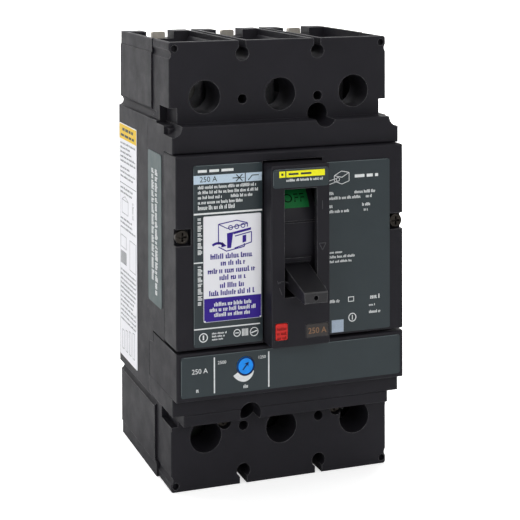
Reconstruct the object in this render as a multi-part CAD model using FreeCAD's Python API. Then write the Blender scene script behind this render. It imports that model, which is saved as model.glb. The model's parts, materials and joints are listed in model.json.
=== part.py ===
import FreeCAD, Part
import math
import os

# Three-pole molded case breaker, toggle in the OFF position. Millimetres.
# Origin: centre of the rear mounting face. +X to the right seen from the front, +Z up.
# "Depth" is the distance forward of the mounting face, so a depth d lies at Y = -d.

# ---- driving dimensions -----------------------------------------------------------------
HEIGHT = 191.0
WIDTH = 105.0
POLE_PITCH = 35.0
MOUNT_X = 17.5
MOUNT_Z = 62.5
MOUNT_RADIUS = 2.75
MOUNT_SEAT_DEPTH = 20.0
MOUNT_HEAD_RADIUS = 4.75
COVER_DEPTH = 81.0
NOSE_DEPTH = 89.0
TERMINAL_DEPTH = 68.5
COVER_BACK = 40.0
UPPER_BAND_DEPTH = 77.0
LOWER_BAND_DEPTH = 76.0
DECK_DEPTH = 65.8

SEAM = 0.15
WALL = 2.7
SKIN = 0.25
STICK_GAP = 0.02
RUNNING = 0.05
TINY = 1e-6
PAST = 1.0
FAR = 95.0
OUTSIDE = 60.0
BEHIND_FACES = 60.0

# ---- heights of the horizontal seams -----------------------------------------------------
TOP = HEIGHT / 2.0
UPPER_BAND_TOP = 60.9
UPPER_BAND_BOTTOM = 49.5
COVER_BOTTOM = -31.4
TRIP_TOP = -32.4
TRIP_BOTTOM = -52.6
LOWER_BAND_SHOULDER = -60.2
LOWER_BAND_BOTTOM = -65.0
LOAD_COVER_TOP = -60.5
CHAMBER_WALL = (56.0, 58.0)

# ---- widths ------------------------------------------------------------------------------
HALF_WIDTH = WIDTH / 2.0
TERMINAL_HALF_WIDTH = 51.0
BASE_TERMINAL_HALF_WIDTH = 51.7
BASE_END_HALF_WIDTH = 51.3
BAND_STEP_X = 47.5
BAND_SCOOP_RADIUS = 4.4
BAY_OUTER_X = HALF_WIDTH - WALL
PHASE_HALF_WALL = 2.9
PARTITION_HALF_WALL = 1.0
FLOOR = 3.0

# Parting line between the rear housing and the covers, as (height, depth).
PARTING = [
    (-TOP, 51.0), (-89.0, 51.0), (-88.2, 49.4), (LOAD_COVER_TOP, 49.4), (-59.0, 45.0),
    (-37.5, 45.0), (-36.5, 50.5), (-27.5, 50.5), (-26.0, 43.3), (60.0, 43.3),
    (62.0, 46.5), (TOP, 46.5),
]

# ---- terminal ends -----------------------------------------------------------------------
ACCESS_RADIUS = 7.1
ACCESS_TUBE_BACK = 52.0
ACCESS_TUBE_RADIUS = ACCESS_RADIUS + 1.6
LINE_SCREW_Z = 71.8
LOAD_SCREW_Z = -72.9
SLOT_X = 17.7
SLOT_RADIUS = 3.1
SLOT_NECK = 3.3
SLOT_Z = 89.8
SLOT_BOSS_RADIUS = 4.2
SHIELD_HOLE_RADIUS = 2.1
SHIELD_HOLE_Z = 70.3
CORNER_HOLE = (48.6, 92.8)
CORNER_HOLE_RADIUS = 1.5
CORNER_HOLE_SINK = 2.2
CORNER_SCOOP_Z = 90.3
CORNER_SCOOP_RADIUS = 2.5
NOTCH_DEPTH = 56.0
NOTCH_Z = (59.0, 67.6)
NOTCH_WALL = 1.6
BASE_SHOULDER_Z = 65.0
BASE_TIP_Z = 89.6
END_BLOCK_DEPTH = 9.5
END_LEDGE_Z = 92.0
END_BLOCK_Z = 87.6
END_NOTCH_HALF_WIDTH = 6.8
GROOVE_Z = 62.9
GROOVE_RADIUS = 2.15
GROOVE_DEPTH = 52.0
REAR_POCKET_Z = (9.0, 50.0)
REAR_POCKET_HALF_WIDTH = 11.0
REAR_POCKET_SINK = 1.0

# ---- screws ------------------------------------------------------------------------------
FRONT_SCREWS = [(-17.5, 44.0), (17.5, 44.0), (-17.5, -22.0), (17.5, -22.0)]
FRONT_BOSS_RADIUS = 3.4
FRONT_SHANK_RADIUS = 1.9
FRONT_SCREW_LENGTH = 28.0
FRONT_HOLE_DEPTH = 33.0
LOAD_SCREWS = [(-26.3, -68.0), (26.3, -68.0)]
LOAD_BOSS_RADIUS = 3.2
LOAD_BOSS_DEPTH = 40.0
LOAD_SHANK_RADIUS = 1.5
COVER_SHANK_RADIUS = 1.35
COVER_SCREWS = [(-49.4, 15.8), (49.4, 15.8)]
COVER_POCKET_HALF = 3.5

# ---- printed labels, as x and height ranges -----------------------------------------------
LEFT_LABEL = ((-44.9, -14.1), (-30.2, 45.3))
RIGHT_LABEL = ((14.1, 45.8), (-30.2, 43.4))
STICKER = ((-40.6, -14.8), (-20.0, 24.0))
NOSE_LABEL = ((-12.7, 12.7), (35.3, 43.2))
TRIP_LABEL = ((-50.6, 50.6), (-50.8, -33.8))

# ---- current path ------------------------------------------------------------------------
STRAP_DEPTH = (5.0, 8.0)
STRAP_HALF_WIDTH = 9.0
TAB_HALF_WIDTH = 3.2
TAB_TOP = 95.2
LUG_HALF_WIDTH = 11.2
LUG_DEPTH = (8.1, 38.0)
LUG_Z = (62.0, 87.0)
WIRE_RADIUS = 8.5
WIRE_DEPTH = 20.0
LUG_SCREW_RADIUS = 5.5
ROTOR = (22.0, 7.0)
ROTOR_RADIUS = 9.5
ROTOR_HALF_WIDTH = 9.0
SHAFT_RADIUS = 3.0
ARM_REACH = 23.4
ARM_HALF_WIDTH = 3.5
ARM_HALF_THICKNESS = 2.0
ARM_OFF_ANGLE = 9.7
PAD_THICKNESS = 1.5
CARTRIDGE_HALF_WIDTH = 13.2
CARTRIDGE_DEPTH = (3.3, 40.4)
CARTRIDGE_Z = (-27.0, 41.0)
CARTRIDGE_WALL = 1.3
LOAD_BAR_DEPTH = (36.0, 39.0)
LOAD_BAR_HALF_WIDTH = 6.5
LOAD_STEP_Z = (-53.0, -50.0)
PLATE_COUNT = 8
PLATE_PITCH_ANGLE = 6.0
PLATE_FIRST_ANGLE = -14.0
PLATE_RADII = (27.0, 32.0)
PLATE_HALF_WIDTH = 8.0

# ---- handle and mechanism ----------------------------------------------------------------
PIVOT = (49.0, 11.0)
PIVOT_PIN_RADIUS = 2.0
HANDLE_OFF_ANGLE = -18.4
HANDLE_TIP = 57.3
SHUTTER_RADII = (33.2, 35.6)
SHUTTER_HALF_WIDTH = 9.9
SHUTTER_SPAN = (-53.0, 56.0)
FLAG_SPAN = (41.5, 54.5)
FLAG_HALF_WIDTH = 7.2
SOCKET_Z = (-6.6, 2.7)
NOSE_HALF_WIDTH = 13.3
NOSE_Z = (COVER_BOTTOM, 44.6)
NOSE_WALL = 1.2
NOSE_FACE = 2.2
NOSE_GAP = 0.5
HANDLE_SLOT_HALF_WIDTH = 7.4
HANDLE_SLOT_Z = (-10.6, 34.6)
SIDE_PLATE_X = (10.4, 11.9)
CRADLE_PIVOT = (54.0, 32.0)
CRADLE_PIN_RADIUS = 1.6

# ---- trip unit ---------------------------------------------------------------------------
BUTTON_X = (-11.6, -6.2)
BUTTON_Z = (-28.1, -21.1)
BUTTON_STEM_RADIUS = 1.5
BUTTON_GUIDE_DEPTH = (66.4, 68.4)
RATING_X = (2.3, 12.3)
RATING_Z = (-28.0, -22.6)
DIAL = (-21.9, -40.0)
DIAL_RADIUS = 3.85
DIAL_SHAFT_RADIUS = 2.0
TRIP_BAR = (54.0, -40.0)
TRIP_BAR_RADIUS = 3.0
FINGER_WINDOW_X = (-12.0, 3.0)
LATCH_DEPTH = (54.3, 56.5)
BIMETAL_OFFSET = 4.4

POLES = {"left": -POLE_PITCH, "centre": 0.0, "right": POLE_PITCH}


# ---- shape helpers -----------------------------------------------------------------------
def block(x, depth, z):
    """Box from (low, high) ranges of x, depth and height."""
    corner = FreeCAD.Vector(x[0], -depth[1], z[0])
    return Part.makeBox(x[1] - x[0], depth[1] - depth[0], z[1] - z[0], corner)


def about(centre, half):
    return (centre - half, centre + half)


def grown(span, gap):
    return (span[0] - gap, span[1] + gap)


def rod_x(x, depth, z, radius):
    """Cylinder along X from x[0] to x[1]."""
    return Part.makeCylinder(radius, x[1] - x[0], FreeCAD.Vector(x[0], -depth, z), FreeCAD.Vector(1, 0, 0))


def rod_y(x, depth, z, radius):
    """Cylinder along the depth, from depth[0] to depth[1]."""
    return Part.makeCylinder(radius, depth[1] - depth[0], FreeCAD.Vector(x, -depth[0], z),
                             FreeCAD.Vector(0, -1, 0))


def rod_z(x, depth, z, radius):
    """Cylinder along Z from z[0] to z[1]."""
    return Part.makeCylinder(radius, z[1] - z[0], FreeCAD.Vector(x, -depth, z[0]), FreeCAD.Vector(0, 0, 1))


def prism_x(outline, x):
    """Extrudes a (depth, height) outline along X."""
    points = [FreeCAD.Vector(x[0], -d, z) for d, z in outline]
    face = Part.Face(Part.makePolygon(points + points[:1]))
    return face.extrude(FreeCAD.Vector(x[1] - x[0], 0, 0))


def prism_y(outline, depth):
    """Extrudes an (x, height) outline along the depth."""
    points = [FreeCAD.Vector(px, -depth[0], pz) for px, pz in outline]
    face = Part.Face(Part.makePolygon(points + points[:1]))
    return face.extrude(FreeCAD.Vector(0, depth[0] - depth[1], 0))


def fused(shapes):
    result = shapes[0]
    if len(shapes) > 1:
        result = result.multiFuse(shapes[1:]).removeSplitter()
    return result


def cut(shape, tools):
    return shape.cut(Part.Compound(tools)) if len(tools) == 1 else shape.cut(tools)


def turned(shape, pivot, degrees):
    """Turns a shape about a cross axis at (depth, height); positive swings the front upward."""
    result = shape.copy()
    result.rotate(FreeCAD.Vector(0, -pivot[0], pivot[1]), FreeCAD.Vector(-1, 0, 0), degrees)
    return result


def edges_along(shape, direction):
    """Straight edges parallel to a direction, for rounding."""
    found = []
    for edge in shape.Edges:
        if not isinstance(edge.Curve, Part.Line):
            continue
        if edge.tangentAt(edge.FirstParameter).cross(direction).Length < TINY:
            found.append(edge)
    return found


def rounded_block(x, depth, z, radius, direction=(0, 1, 0)):
    """Box with the four edges along one direction rounded."""
    shape = block(x, depth, z)
    return shape.makeFillet(radius, edges_along(shape, FreeCAD.Vector(*direction)))


def front_rounded(shape, depth, radius):
    """Rounds the outer edges that lie in the plane at one depth."""
    edges = [edge for edge in shape.Edges if abs(edge.BoundBox.YMin + depth) < TINY
             and abs(edge.BoundBox.YMax + depth) < TINY]
    return shape.makeFillet(radius, edges)


def coil(radius, wire, pitch, length):
    """Coil spring along +Z from the origin."""
    helix = Part.makeHelix(pitch, length, radius)
    ring = Part.Wire(Part.makeCircle(wire, FreeCAD.Vector(radius, 0, 0), FreeCAD.Vector(0, 1, 0)))
    return Part.Wire(helix).makePipeShell([ring], True, True)


def placed(shape, position, axis):
    """Moves a shape built along +Z so that it starts at position and runs along axis."""
    result = shape.copy()
    turn = FreeCAD.Rotation(FreeCAD.Vector(0, 0, 1), FreeCAD.Vector(*axis))
    result.Placement = FreeCAD.Placement(FreeCAD.Vector(*position), turn)
    return result


def save(name, shapes):
    """Writes one node; a list of identical pieces becomes one node with several solids."""
    group = shapes if isinstance(shapes, list) else [shapes]
    solids = [solid for shape in group for solid in shape.Solids]
    result = solids[0] if len(solids) == 1 else Part.makeCompound(solids)
    result.exportStep("parts/" + name + ".step")


# ---- features shared by the housings -----------------------------------------------------
def base_envelope(back, gap, half_width):
    """Everything behind the parting line, moved forward by a gap."""
    outline = [(back, TOP + gap), (back, -TOP - gap)] + [(depth + gap, z) for z, depth in PARTING]
    outline[2] = (outline[2][0], -TOP - gap)
    outline[-1] = (outline[-1][0], TOP + gap)
    return prism_x(outline, (-half_width, half_width))


def behind_seam():
    """Cutter that keeps the covers a seam's width in front of the rear housing."""
    return base_envelope(-PAST, SEAM, OUTSIDE)


def bay_ranges(zone):
    """X ranges of the three pole bays, between the phase walls of the zone."""
    half_wall = PHASE_HALF_WALL if zone == "terminal" else PARTITION_HALF_WALL
    inner = MOUNT_X - half_wall
    outer = (MOUNT_X + half_wall, BAY_OUTER_X)
    if zone == "terminal":
        outer = (outer[0], TERMINAL_HALF_WIDTH - WALL / 2.0)
    return [(-outer[1], -outer[0]), (-inner, inner), outer]


def barrier_slots(height_sign):
    """Keyhole slots for phase barriers, through the whole depth at one end."""
    tools = []
    for x in (-SLOT_X, SLOT_X):
        tools.append(rod_y(x, (-PAST, FAR), height_sign * SLOT_Z, SLOT_RADIUS))
        neck_z = sorted((height_sign * SLOT_Z, height_sign * (TOP + PAST)))
        tools.append(block(about(x, SLOT_NECK / 2.0), (-PAST, FAR), neck_z))
    return tools


def slot_bosses(height_sign, depth):
    return [rod_y(x, depth, height_sign * SLOT_Z, SLOT_BOSS_RADIUS) for x in (-SLOT_X, SLOT_X)]


def load_boss_ribs(depth):
    """Webs that tie the load cover screw bosses to the phase walls."""
    ribs = []
    for x, z in LOAD_SCREWS:
        side = 1.0 if x > 0 else -1.0
        ribs.append(block(sorted((side * (MOUNT_X + PHASE_HALF_WALL - 0.2), x)), depth, about(z, 1.2)))
    return ribs


def mount_bores():
    """The two mounting screw bores with their deep head recesses."""
    tools = []
    for sign in (-1.0, 1.0):
        x, z = sign * MOUNT_X, sign * MOUNT_Z
        tools.append(rod_y(x, (-PAST, FAR), z, MOUNT_RADIUS))
        tools.append(rod_y(x, (MOUNT_SEAT_DEPTH, FAR), z, MOUNT_HEAD_RADIUS))
    return tools


def mount_post(depth, sign):
    return rod_y(sign * MOUNT_X, depth, sign * MOUNT_Z, MOUNT_HEAD_RADIUS + 1.15)


def screw_bosses(points, depth, radius):
    """Rods along the depth at each point: bosses when fused, clearance bores when cut."""
    return [rod_y(x, depth, z, radius) for x, z in points]


def side_grooves():
    """Half-round grooves down both sides, in line with the corner notches."""
    tools = []
    for z in (-GROOVE_Z, GROOVE_Z):
        for x in (-HALF_WIDTH, HALF_WIDTH):
            tools.append(rod_y(x, (-PAST, GROOVE_DEPTH), z, GROOVE_RADIUS))
    return tools


def notch_posts(sign):
    """Solid corners behind the finger notches, so that the notches stay closed to the chambers."""
    z = sorted((sign * CHAMBER_WALL[1], sign * (NOTCH_Z[1] + NOTCH_WALL)))
    depth = (NOTCH_DEPTH - NOTCH_WALL, TERMINAL_DEPTH)
    inner, outer = BAND_STEP_X - NOTCH_WALL, TERMINAL_HALF_WIDTH - 0.5
    return [block(sorted((side * inner, side * outer)), depth, z) for side in (-1.0, 1.0)]


def terminal_front(z, half_width):
    """Front wall, side walls and phase walls of one terminal end, facing forward."""
    shape = rounded_block((-half_width, half_width), (COVER_BACK, TERMINAL_DEPTH), z, 1.2)
    shape = front_rounded(shape, TERMINAL_DEPTH, 0.6)
    sign = 1.0 if z[1] > 0 else -1.0
    open_end = sorted((sign * CHAMBER_WALL[1], sign * (TOP + PAST)))
    hollow = (COVER_BACK - PAST, TERMINAL_DEPTH - WALL)
    shape = cut(shape, [block(x, hollow, open_end) for x in bay_ranges("terminal")])
    shape = fused([shape] + slot_bosses(sign, (COVER_BACK, TERMINAL_DEPTH)) + notch_posts(sign))
    tools = barrier_slots(sign)
    for x in (-SLOT_X, SLOT_X):
        tools.append(rod_y(x, (TERMINAL_DEPTH - 12.0, FAR), sign * SHIELD_HOLE_Z, SHIELD_HOLE_RADIUS))
    corner_x, corner_z = CORNER_HOLE
    for x in (-corner_x, corner_x):
        tools.append(rod_y(x, (TERMINAL_DEPTH - CORNER_HOLE_SINK, FAR), sign * corner_z, CORNER_HOLE_RADIUS))
    scoop_x = half_width + 1.7
    for x in (-scoop_x, scoop_x):
        tools.append(rod_y(x, (COVER_BACK + 5.0, FAR), sign * CORNER_SCOOP_Z, CORNER_SCOOP_RADIUS))
    notch_z = sorted((sign * NOTCH_Z[0], sign * NOTCH_Z[1]))
    for x in ((-HALF_WIDTH - PAST, -BAND_STEP_X), (BAND_STEP_X, HALF_WIDTH + PAST)):
        tools.append(block(x, (NOTCH_DEPTH, FAR), notch_z))
    return cut(shape, tools)


def access_holes(z, back):
    """Round holes in the covers through which the lug screws are tightened."""
    return [rod_y(x, (back, FAR), z, ACCESS_RADIUS) for x in POLES.values()]


def access_tubes(z, front):
    """Solid stubs behind the access holes; the holes bore them into tubes that guide the driver."""
    return [rod_y(x, (ACCESS_TUBE_BACK, front), z, ACCESS_TUBE_RADIUS) for x in POLES.values()]


def rear_pockets():
    """Shallow recesses in the rear face, one above and one below the middle of each pole."""
    tools = []
    for pole in POLES.values():
        for sign in (-1.0, 1.0):
            z = sorted((sign * REAR_POCKET_Z[0], sign * REAR_POCKET_Z[1]))
            tools.append(block(about(pole, REAR_POCKET_HALF_WIDTH), (-PAST, REAR_POCKET_SINK), z))
    return tools


# ---- housings ----------------------------------------------------------------------------
def rear_end(sign):
    """Narrowed sides, lug chambers and terminal passages at one end of the rear housing."""
    end = sorted((sign * BASE_SHOULDER_Z, sign * (TOP + PAST)))
    tip = sorted((sign * BASE_TIP_Z, sign * (TOP + PAST)))
    tools = []
    for side in (-1.0, 1.0):
        shoulder = sorted((side * BASE_TERMINAL_HALF_WIDTH, side * OUTSIDE))
        tools.append(block(shoulder, (-PAST, FAR), end))
        tools.append(block(sorted((side * BASE_END_HALF_WIDTH, side * OUTSIDE)), (-PAST, FAR), tip))
    chamber = sorted((sign * CHAMBER_WALL[1], sign * END_BLOCK_Z))
    mouth = sorted((sign * (END_BLOCK_Z - PAST), sign * (TOP + PAST)))
    for x in bay_ranges("terminal"):
        tools.append(block(x, (FLOOR, FAR), chamber))
        tools.append(block(x, (END_BLOCK_DEPTH, FAR), mouth))
    notch = sorted((sign * END_LEDGE_Z, sign * (TOP + PAST)))
    tab_slot = sorted((sign * (END_BLOCK_Z - PAST), sign * END_LEDGE_Z))
    passage = sorted((sign * (CHAMBER_WALL[0] - PAST), sign * (CHAMBER_WALL[1] + PAST)))
    for pole in POLES.values():
        tools.append(block(about(pole, END_NOTCH_HALF_WIDTH), (-PAST, END_BLOCK_DEPTH + PAST), notch))
        tools.append(block(about(pole, TAB_HALF_WIDTH + 0.3), (STRAP_DEPTH[0] - 0.3, 7.7), tab_slot))
        tools.append(block(about(pole, STRAP_HALF_WIDTH + 0.4), (FLOOR, STRAP_DEPTH[1] + 0.3), passage))
    return tools


def rear_housing():
    """Deep base that holds every internal piece, with the mounting bores and the lug chambers."""
    envelope = base_envelope(0.0, 0.0, HALF_WIDTH)
    tools = side_grooves() + rear_pockets() + rear_end(-1.0) + rear_end(1.0)
    for x in bay_ranges("middle"):
        tools.append(block(x, (FLOOR, FAR), (-CHAMBER_WALL[0], CHAMBER_WALL[0])))
    tools.append(block((-30.0, 30.0), (ROTOR[0] - 5.0, FAR), about(ROTOR[1], 5.0)))
    shape = cut(envelope, tools)
    added = []
    for sign in (-1.0, 1.0):
        added += slot_bosses(sign, (END_BLOCK_DEPTH - PAST, FAR))
        added.append(mount_post((0.0, FAR), sign))
    added += screw_bosses(FRONT_SCREWS, (FLOOR - PAST, FAR), FRONT_BOSS_RADIUS)
    added += screw_bosses(LOAD_SCREWS, (LOAD_BOSS_DEPTH, FAR), LOAD_BOSS_RADIUS)
    added += load_boss_ribs((LOAD_BOSS_DEPTH, FAR))
    shape = fused([shape] + [piece.common(envelope) for piece in added])
    screw_holes = screw_bosses(FRONT_SCREWS, (FRONT_HOLE_DEPTH, FAR), FRONT_SHANK_RADIUS + STICK_GAP)
    screw_holes += screw_bosses(LOAD_SCREWS, (LOAD_BOSS_DEPTH + PAST, FAR), LOAD_SHANK_RADIUS + STICK_GAP)
    return cut(shape, barrier_slots(1.0) + barrier_slots(-1.0) + mount_bores() + screw_holes)


def upper_band():
    """Raised band across the top of the centre section, with scooped corners."""
    z = (UPPER_BAND_BOTTOM, UPPER_BAND_TOP)
    shape = block((-HALF_WIDTH, HALF_WIDTH), (COVER_BACK, UPPER_BAND_DEPTH), z)
    scoops = []
    for x in (-HALF_WIDTH, HALF_WIDTH):
        scoops.append(rod_y(x, (NOTCH_DEPTH, FAR), UPPER_BAND_TOP, BAND_SCOOP_RADIUS))
    shape = front_rounded(shape, UPPER_BAND_DEPTH, 0.6)
    return cut(shape, scoops)


def nose():
    """Handle escutcheon standing through the accessory cover."""
    x = (-NOSE_HALF_WIDTH, NOSE_HALF_WIDTH)
    shape = rounded_block(x, (DECK_DEPTH - 1.0, NOSE_DEPTH), NOSE_Z, 1.0)
    return front_rounded(shape, NOSE_DEPTH, 0.5)


def button_centre():
    return sum(BUTTON_X) / 2.0, sum(BUTTON_Z) / 2.0


def nose_openings(bottom_wall):
    """Hollow of the nose, its handle slot, button hole and rating recess, and the finger window below."""
    inner_x = NOSE_HALF_WIDTH - NOSE_WALL
    nose_top = NOSE_Z[1] - NOSE_WALL
    face = (NOSE_DEPTH - NOSE_FACE - PAST, FAR)
    gap = 0.15
    return [
        block(about(0.0, inner_x), (30.0, NOSE_DEPTH - NOSE_FACE), (bottom_wall, nose_top)),
        block(about(0.0, inner_x), (30.0, DECK_DEPTH - 1.2), (nose_top - PAST, nose_top + 2.2)),
        block(about(0.0, HANDLE_SLOT_HALF_WIDTH), face, HANDLE_SLOT_Z),
        block(grown(BUTTON_X, gap), face, grown(BUTTON_Z, gap)),
        block(grown(RATING_X, 0.1), (NOSE_DEPTH - 1.2, FAR), grown(RATING_Z, 0.1)),
        block(FINGER_WINDOW_X, (30.0, DECK_DEPTH - 0.8), (COVER_BOTTOM - PAST, bottom_wall + PAST)),
    ]


def front_housing():
    """Middle cover: line terminal front, upper band, deck under the accessory cover, and nose."""
    deck = block((-HALF_WIDTH, HALF_WIDTH), (COVER_BACK, DECK_DEPTH), (COVER_BOTTOM, UPPER_BAND_TOP - 0.9))
    bottom_wall = COVER_BOTTOM + 2.4
    hollow = (COVER_BACK - PAST, DECK_DEPTH - 3.2)
    tools = [block(x, hollow, (bottom_wall, CHAMBER_WALL[0])) for x in bay_ranges("middle")]
    shape = cut(fused([deck, upper_band(), nose()]), tools + nose_openings(bottom_wall))
    terminal = terminal_front((CHAMBER_WALL[0], TOP), TERMINAL_HALF_WIDTH)
    bosses = screw_bosses(FRONT_SCREWS, (COVER_BACK, DECK_DEPTH - 1.0), FRONT_BOSS_RADIUS)
    x, z = button_centre()
    guide = block((x - 3.0, x + 4.2), BUTTON_GUIDE_DEPTH, (bottom_wall - 0.5, z + 3.4))
    stubs = bosses + access_tubes(LINE_SCREW_Z, TERMINAL_DEPTH - 1.0)
    shape = fused([shape, terminal, mount_post((COVER_BACK, TERMINAL_DEPTH), 1.0), guide] + stubs)
    tools = [behind_seam()] + mount_bores() + side_grooves() + barrier_slots(1.0)
    tools += access_holes(LINE_SCREW_Z, COVER_BACK - PAST)
    tools += screw_bosses(COVER_SCREWS, (DECK_DEPTH - 8.0, FAR), COVER_SHANK_RADIUS + RUNNING)
    tools += screw_bosses(FRONT_SCREWS, (COVER_BACK - PAST, FAR), FRONT_SHANK_RADIUS + 0.1)
    tools += screw_bosses(FRONT_SCREWS, (DECK_DEPTH - 2.2, FAR), 3.5)
    tools.append(rod_y(x, grown(BUTTON_GUIDE_DEPTH, PAST), z, BUTTON_STEM_RADIUS + RUNNING))
    return cut(shape, tools)


def accessory_cover():
    """Plate round the nose over the accessory pockets, with an open-sided pocket for each screw."""
    z = (COVER_BOTTOM + 0.1, UPPER_BAND_BOTTOM - 0.2)
    half = HALF_WIDTH - 0.05
    shape = rounded_block((-half, half), (DECK_DEPTH + 0.2, COVER_DEPTH), z, 0.8)
    shape = front_rounded(shape, COVER_DEPTH, 0.8)
    tools = []
    for side in (-1.0, 1.0):
        x = sorted((side * 16.2, side * (half - 2.0)))
        tools.append(block(x, (DECK_DEPTH, COVER_DEPTH - 2.2), (z[0] + 2.0, 11.0)))
        tools.append(block(x, (DECK_DEPTH, COVER_DEPTH - 2.2), (20.6, z[1] - 2.0)))
    opening_z = (z[0] - PAST, NOSE_Z[1] + 2 * NOSE_GAP)
    opening = block(about(0.0, NOSE_HALF_WIDTH + NOSE_GAP), (BEHIND_FACES, FAR), opening_z)
    tools += screw_bosses(COVER_SCREWS, (BEHIND_FACES, FAR), COVER_SHANK_RADIUS + 0.35)
    for x, screw_z in COVER_SCREWS:
        pocket_x = (x - COVER_POCKET_HALF, OUTSIDE) if x > 0 else (-OUTSIDE, x + COVER_POCKET_HALF)
        tools.append(block(pocket_x, (COVER_DEPTH - 3.0, FAR), about(screw_z, COVER_POCKET_HALF)))
    return cut(shape, tools + [opening])


def trip_unit_housing():
    """Trip unit cover with its label face, and the lower band with a lip over the terminal cover."""
    half = HALF_WIDTH - 0.1
    face = block((-half, half), (COVER_BACK, COVER_DEPTH), (TRIP_BOTTOM, TRIP_TOP))
    face = front_rounded(face, COVER_DEPTH, 0.7)
    band_z = (LOWER_BAND_SHOULDER, TRIP_BOTTOM)
    band = block((-HALF_WIDTH, HALF_WIDTH), (COVER_BACK, LOWER_BAND_DEPTH), band_z)
    band = front_rounded(band, LOWER_BAND_DEPTH, 0.5)
    lip = block((-BAND_STEP_X, BAND_STEP_X), (TERMINAL_DEPTH + 0.1, LOWER_BAND_DEPTH),
                (LOWER_BAND_BOTTOM, LOWER_BAND_SHOULDER))
    lip = front_rounded(lip, LOWER_BAND_DEPTH, 0.5)
    inside_x = (-BAY_OUTER_X, BAY_OUTER_X)
    hollow = [
        block(inside_x, (30.0, COVER_DEPTH - 2.4), (TRIP_BOTTOM + 2.2, TRIP_TOP - 2.2)),
        block(inside_x, (30.0, LOWER_BAND_DEPTH - 2.4), (LOWER_BAND_SHOULDER + 3.0, TRIP_TOP - 2.2)),
        block(FINGER_WINDOW_X, (30.0, DECK_DEPTH - 0.8), (TRIP_TOP - 3.0, TRIP_TOP + PAST)),
    ]
    shape = cut(fused([face, band, lip]), hollow)
    shape = fused([shape, rod_y(DIAL[0], (72.0, COVER_DEPTH - 2.0), DIAL[1], 5.4)])
    tools = [behind_seam()] + mount_bores() + side_grooves()
    tools.append(rod_y(DIAL[0], (COVER_DEPTH - 6.0, FAR), DIAL[1], DIAL_RADIUS + RUNNING))
    tools.append(rod_y(DIAL[0], (BEHIND_FACES, FAR), DIAL[1], DIAL_SHAFT_RADIUS + RUNNING))
    return cut(shape, tools + access_holes(LOAD_SCREW_Z, BEHIND_FACES))


def load_terminal_cover():
    """Cover of the load lug chambers, held by two screws below the trip unit."""
    shape = terminal_front((-TOP, LOAD_COVER_TOP), TERMINAL_HALF_WIDTH - 0.4)
    behind_face = (COVER_BACK, TERMINAL_DEPTH - 1.0)
    added = [mount_post((COVER_BACK, TERMINAL_DEPTH), -1.0)] + load_boss_ribs(behind_face)
    added += screw_bosses(LOAD_SCREWS, behind_face, LOAD_BOSS_RADIUS)
    added += access_tubes(LOAD_SCREW_Z, behind_face[1])
    shape = fused([shape] + added)
    above = block((-OUTSIDE, OUTSIDE), (30.0, FAR), (LOAD_COVER_TOP, 0.0))
    tools = [behind_seam(), above] + mount_bores() + side_grooves() + barrier_slots(-1.0)
    tools += screw_bosses(LOAD_SCREWS, (30.0, FAR), LOAD_SHANK_RADIUS + 0.1)
    tools += screw_bosses(LOAD_SCREWS, (TERMINAL_DEPTH - 4.0, FAR), 3.0)
    return cut(shape, tools + access_holes(LOAD_SCREW_Z, 46.0))


# ---- fasteners ---------------------------------------------------------------------------
def cross_screw(x, z, head_depth, head_radius, shank_radius, length):
    """Pan head screw with a cross recess; head_depth is the depth of the head's top."""
    head = rod_y(x, (head_depth - 2.0, head_depth), z, head_radius)
    head = front_rounded(head, head_depth, 0.5)
    shank = rod_y(x, (head_depth - 2.0 - length, head_depth - 2.0), z, shank_radius)
    arm = head_radius * 0.62
    recess = [block(about(x, arm), (head_depth - 1.2, head_depth + 1.0), about(z, 0.42)),
              block(about(x, 0.42), (head_depth - 1.2, head_depth + 1.0), about(z, arm))]
    return cut(fused([head, shank]), recess)


def screw_set(points, head_depth, head_radius, shank_radius, length):
    return [cross_screw(x, z, head_depth, head_radius, shank_radius, length) for x, z in points]


def accessory_cover_screws():
    return screw_set(COVER_SCREWS, COVER_DEPTH - 0.9, 3.0, COVER_SHANK_RADIUS, 18.0)


def load_cover_screws():
    return screw_set(LOAD_SCREWS, TERMINAL_DEPTH - 1.9, 2.8, LOAD_SHANK_RADIUS, 22.0)


def front_housing_screws():
    return screw_set(FRONT_SCREWS, DECK_DEPTH, 3.3, FRONT_SHANK_RADIUS, FRONT_SCREW_LENGTH)


# ---- labels ------------------------------------------------------------------------------
def label(x, z, depth, radius):
    """Thin printed plate on a front face."""
    low = depth + STICK_GAP
    return rounded_block(x, (low, low + SKIN), z, radius)


def front_label_left():
    return label(*LEFT_LABEL, COVER_DEPTH, 1.0)


def front_label_right():
    return label(*RIGHT_LABEL, COVER_DEPTH, 1.0)


def accessory_sticker():
    return label(*STICKER, COVER_DEPTH + STICK_GAP + SKIN, 0.6)


def nose_label():
    return label(*NOSE_LABEL, NOSE_DEPTH, 1.2)


def trip_label():
    plate = label(*TRIP_LABEL, COVER_DEPTH, 1.0)
    return cut(plate, [rod_y(DIAL[0], (80.0, 83.0), DIAL[1], DIAL_RADIUS + 0.3)])


def side_plate(depth, z, half_width, radius):
    """Thin plate on the left side."""
    x = (-half_width - STICK_GAP - SKIN, -half_width - STICK_GAP)
    return rounded_block(x, depth, z, radius, (1, 0, 0))


def rating_insert():
    return rounded_block(RATING_X, (NOSE_DEPTH - 1.1, NOSE_DEPTH + 0.1), RATING_Z, 0.5)


# ---- current path ------------------------------------------------------------------------
def terminal_tab(pole, sign):
    """Narrow end of a terminal strap, with rounded corners."""
    z = sorted((sign * 80.0, sign * TAB_TOP))
    tab = block(about(pole, TAB_HALF_WIDTH), (STRAP_DEPTH[0], 7.4), z)
    corners = [edge for edge in edges_along(tab, FreeCAD.Vector(0, 1, 0))
               if abs(edge.Vertexes[0].Z - sign * TAB_TOP) < TINY]
    return tab.makeFillet(0.9, corners)


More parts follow.
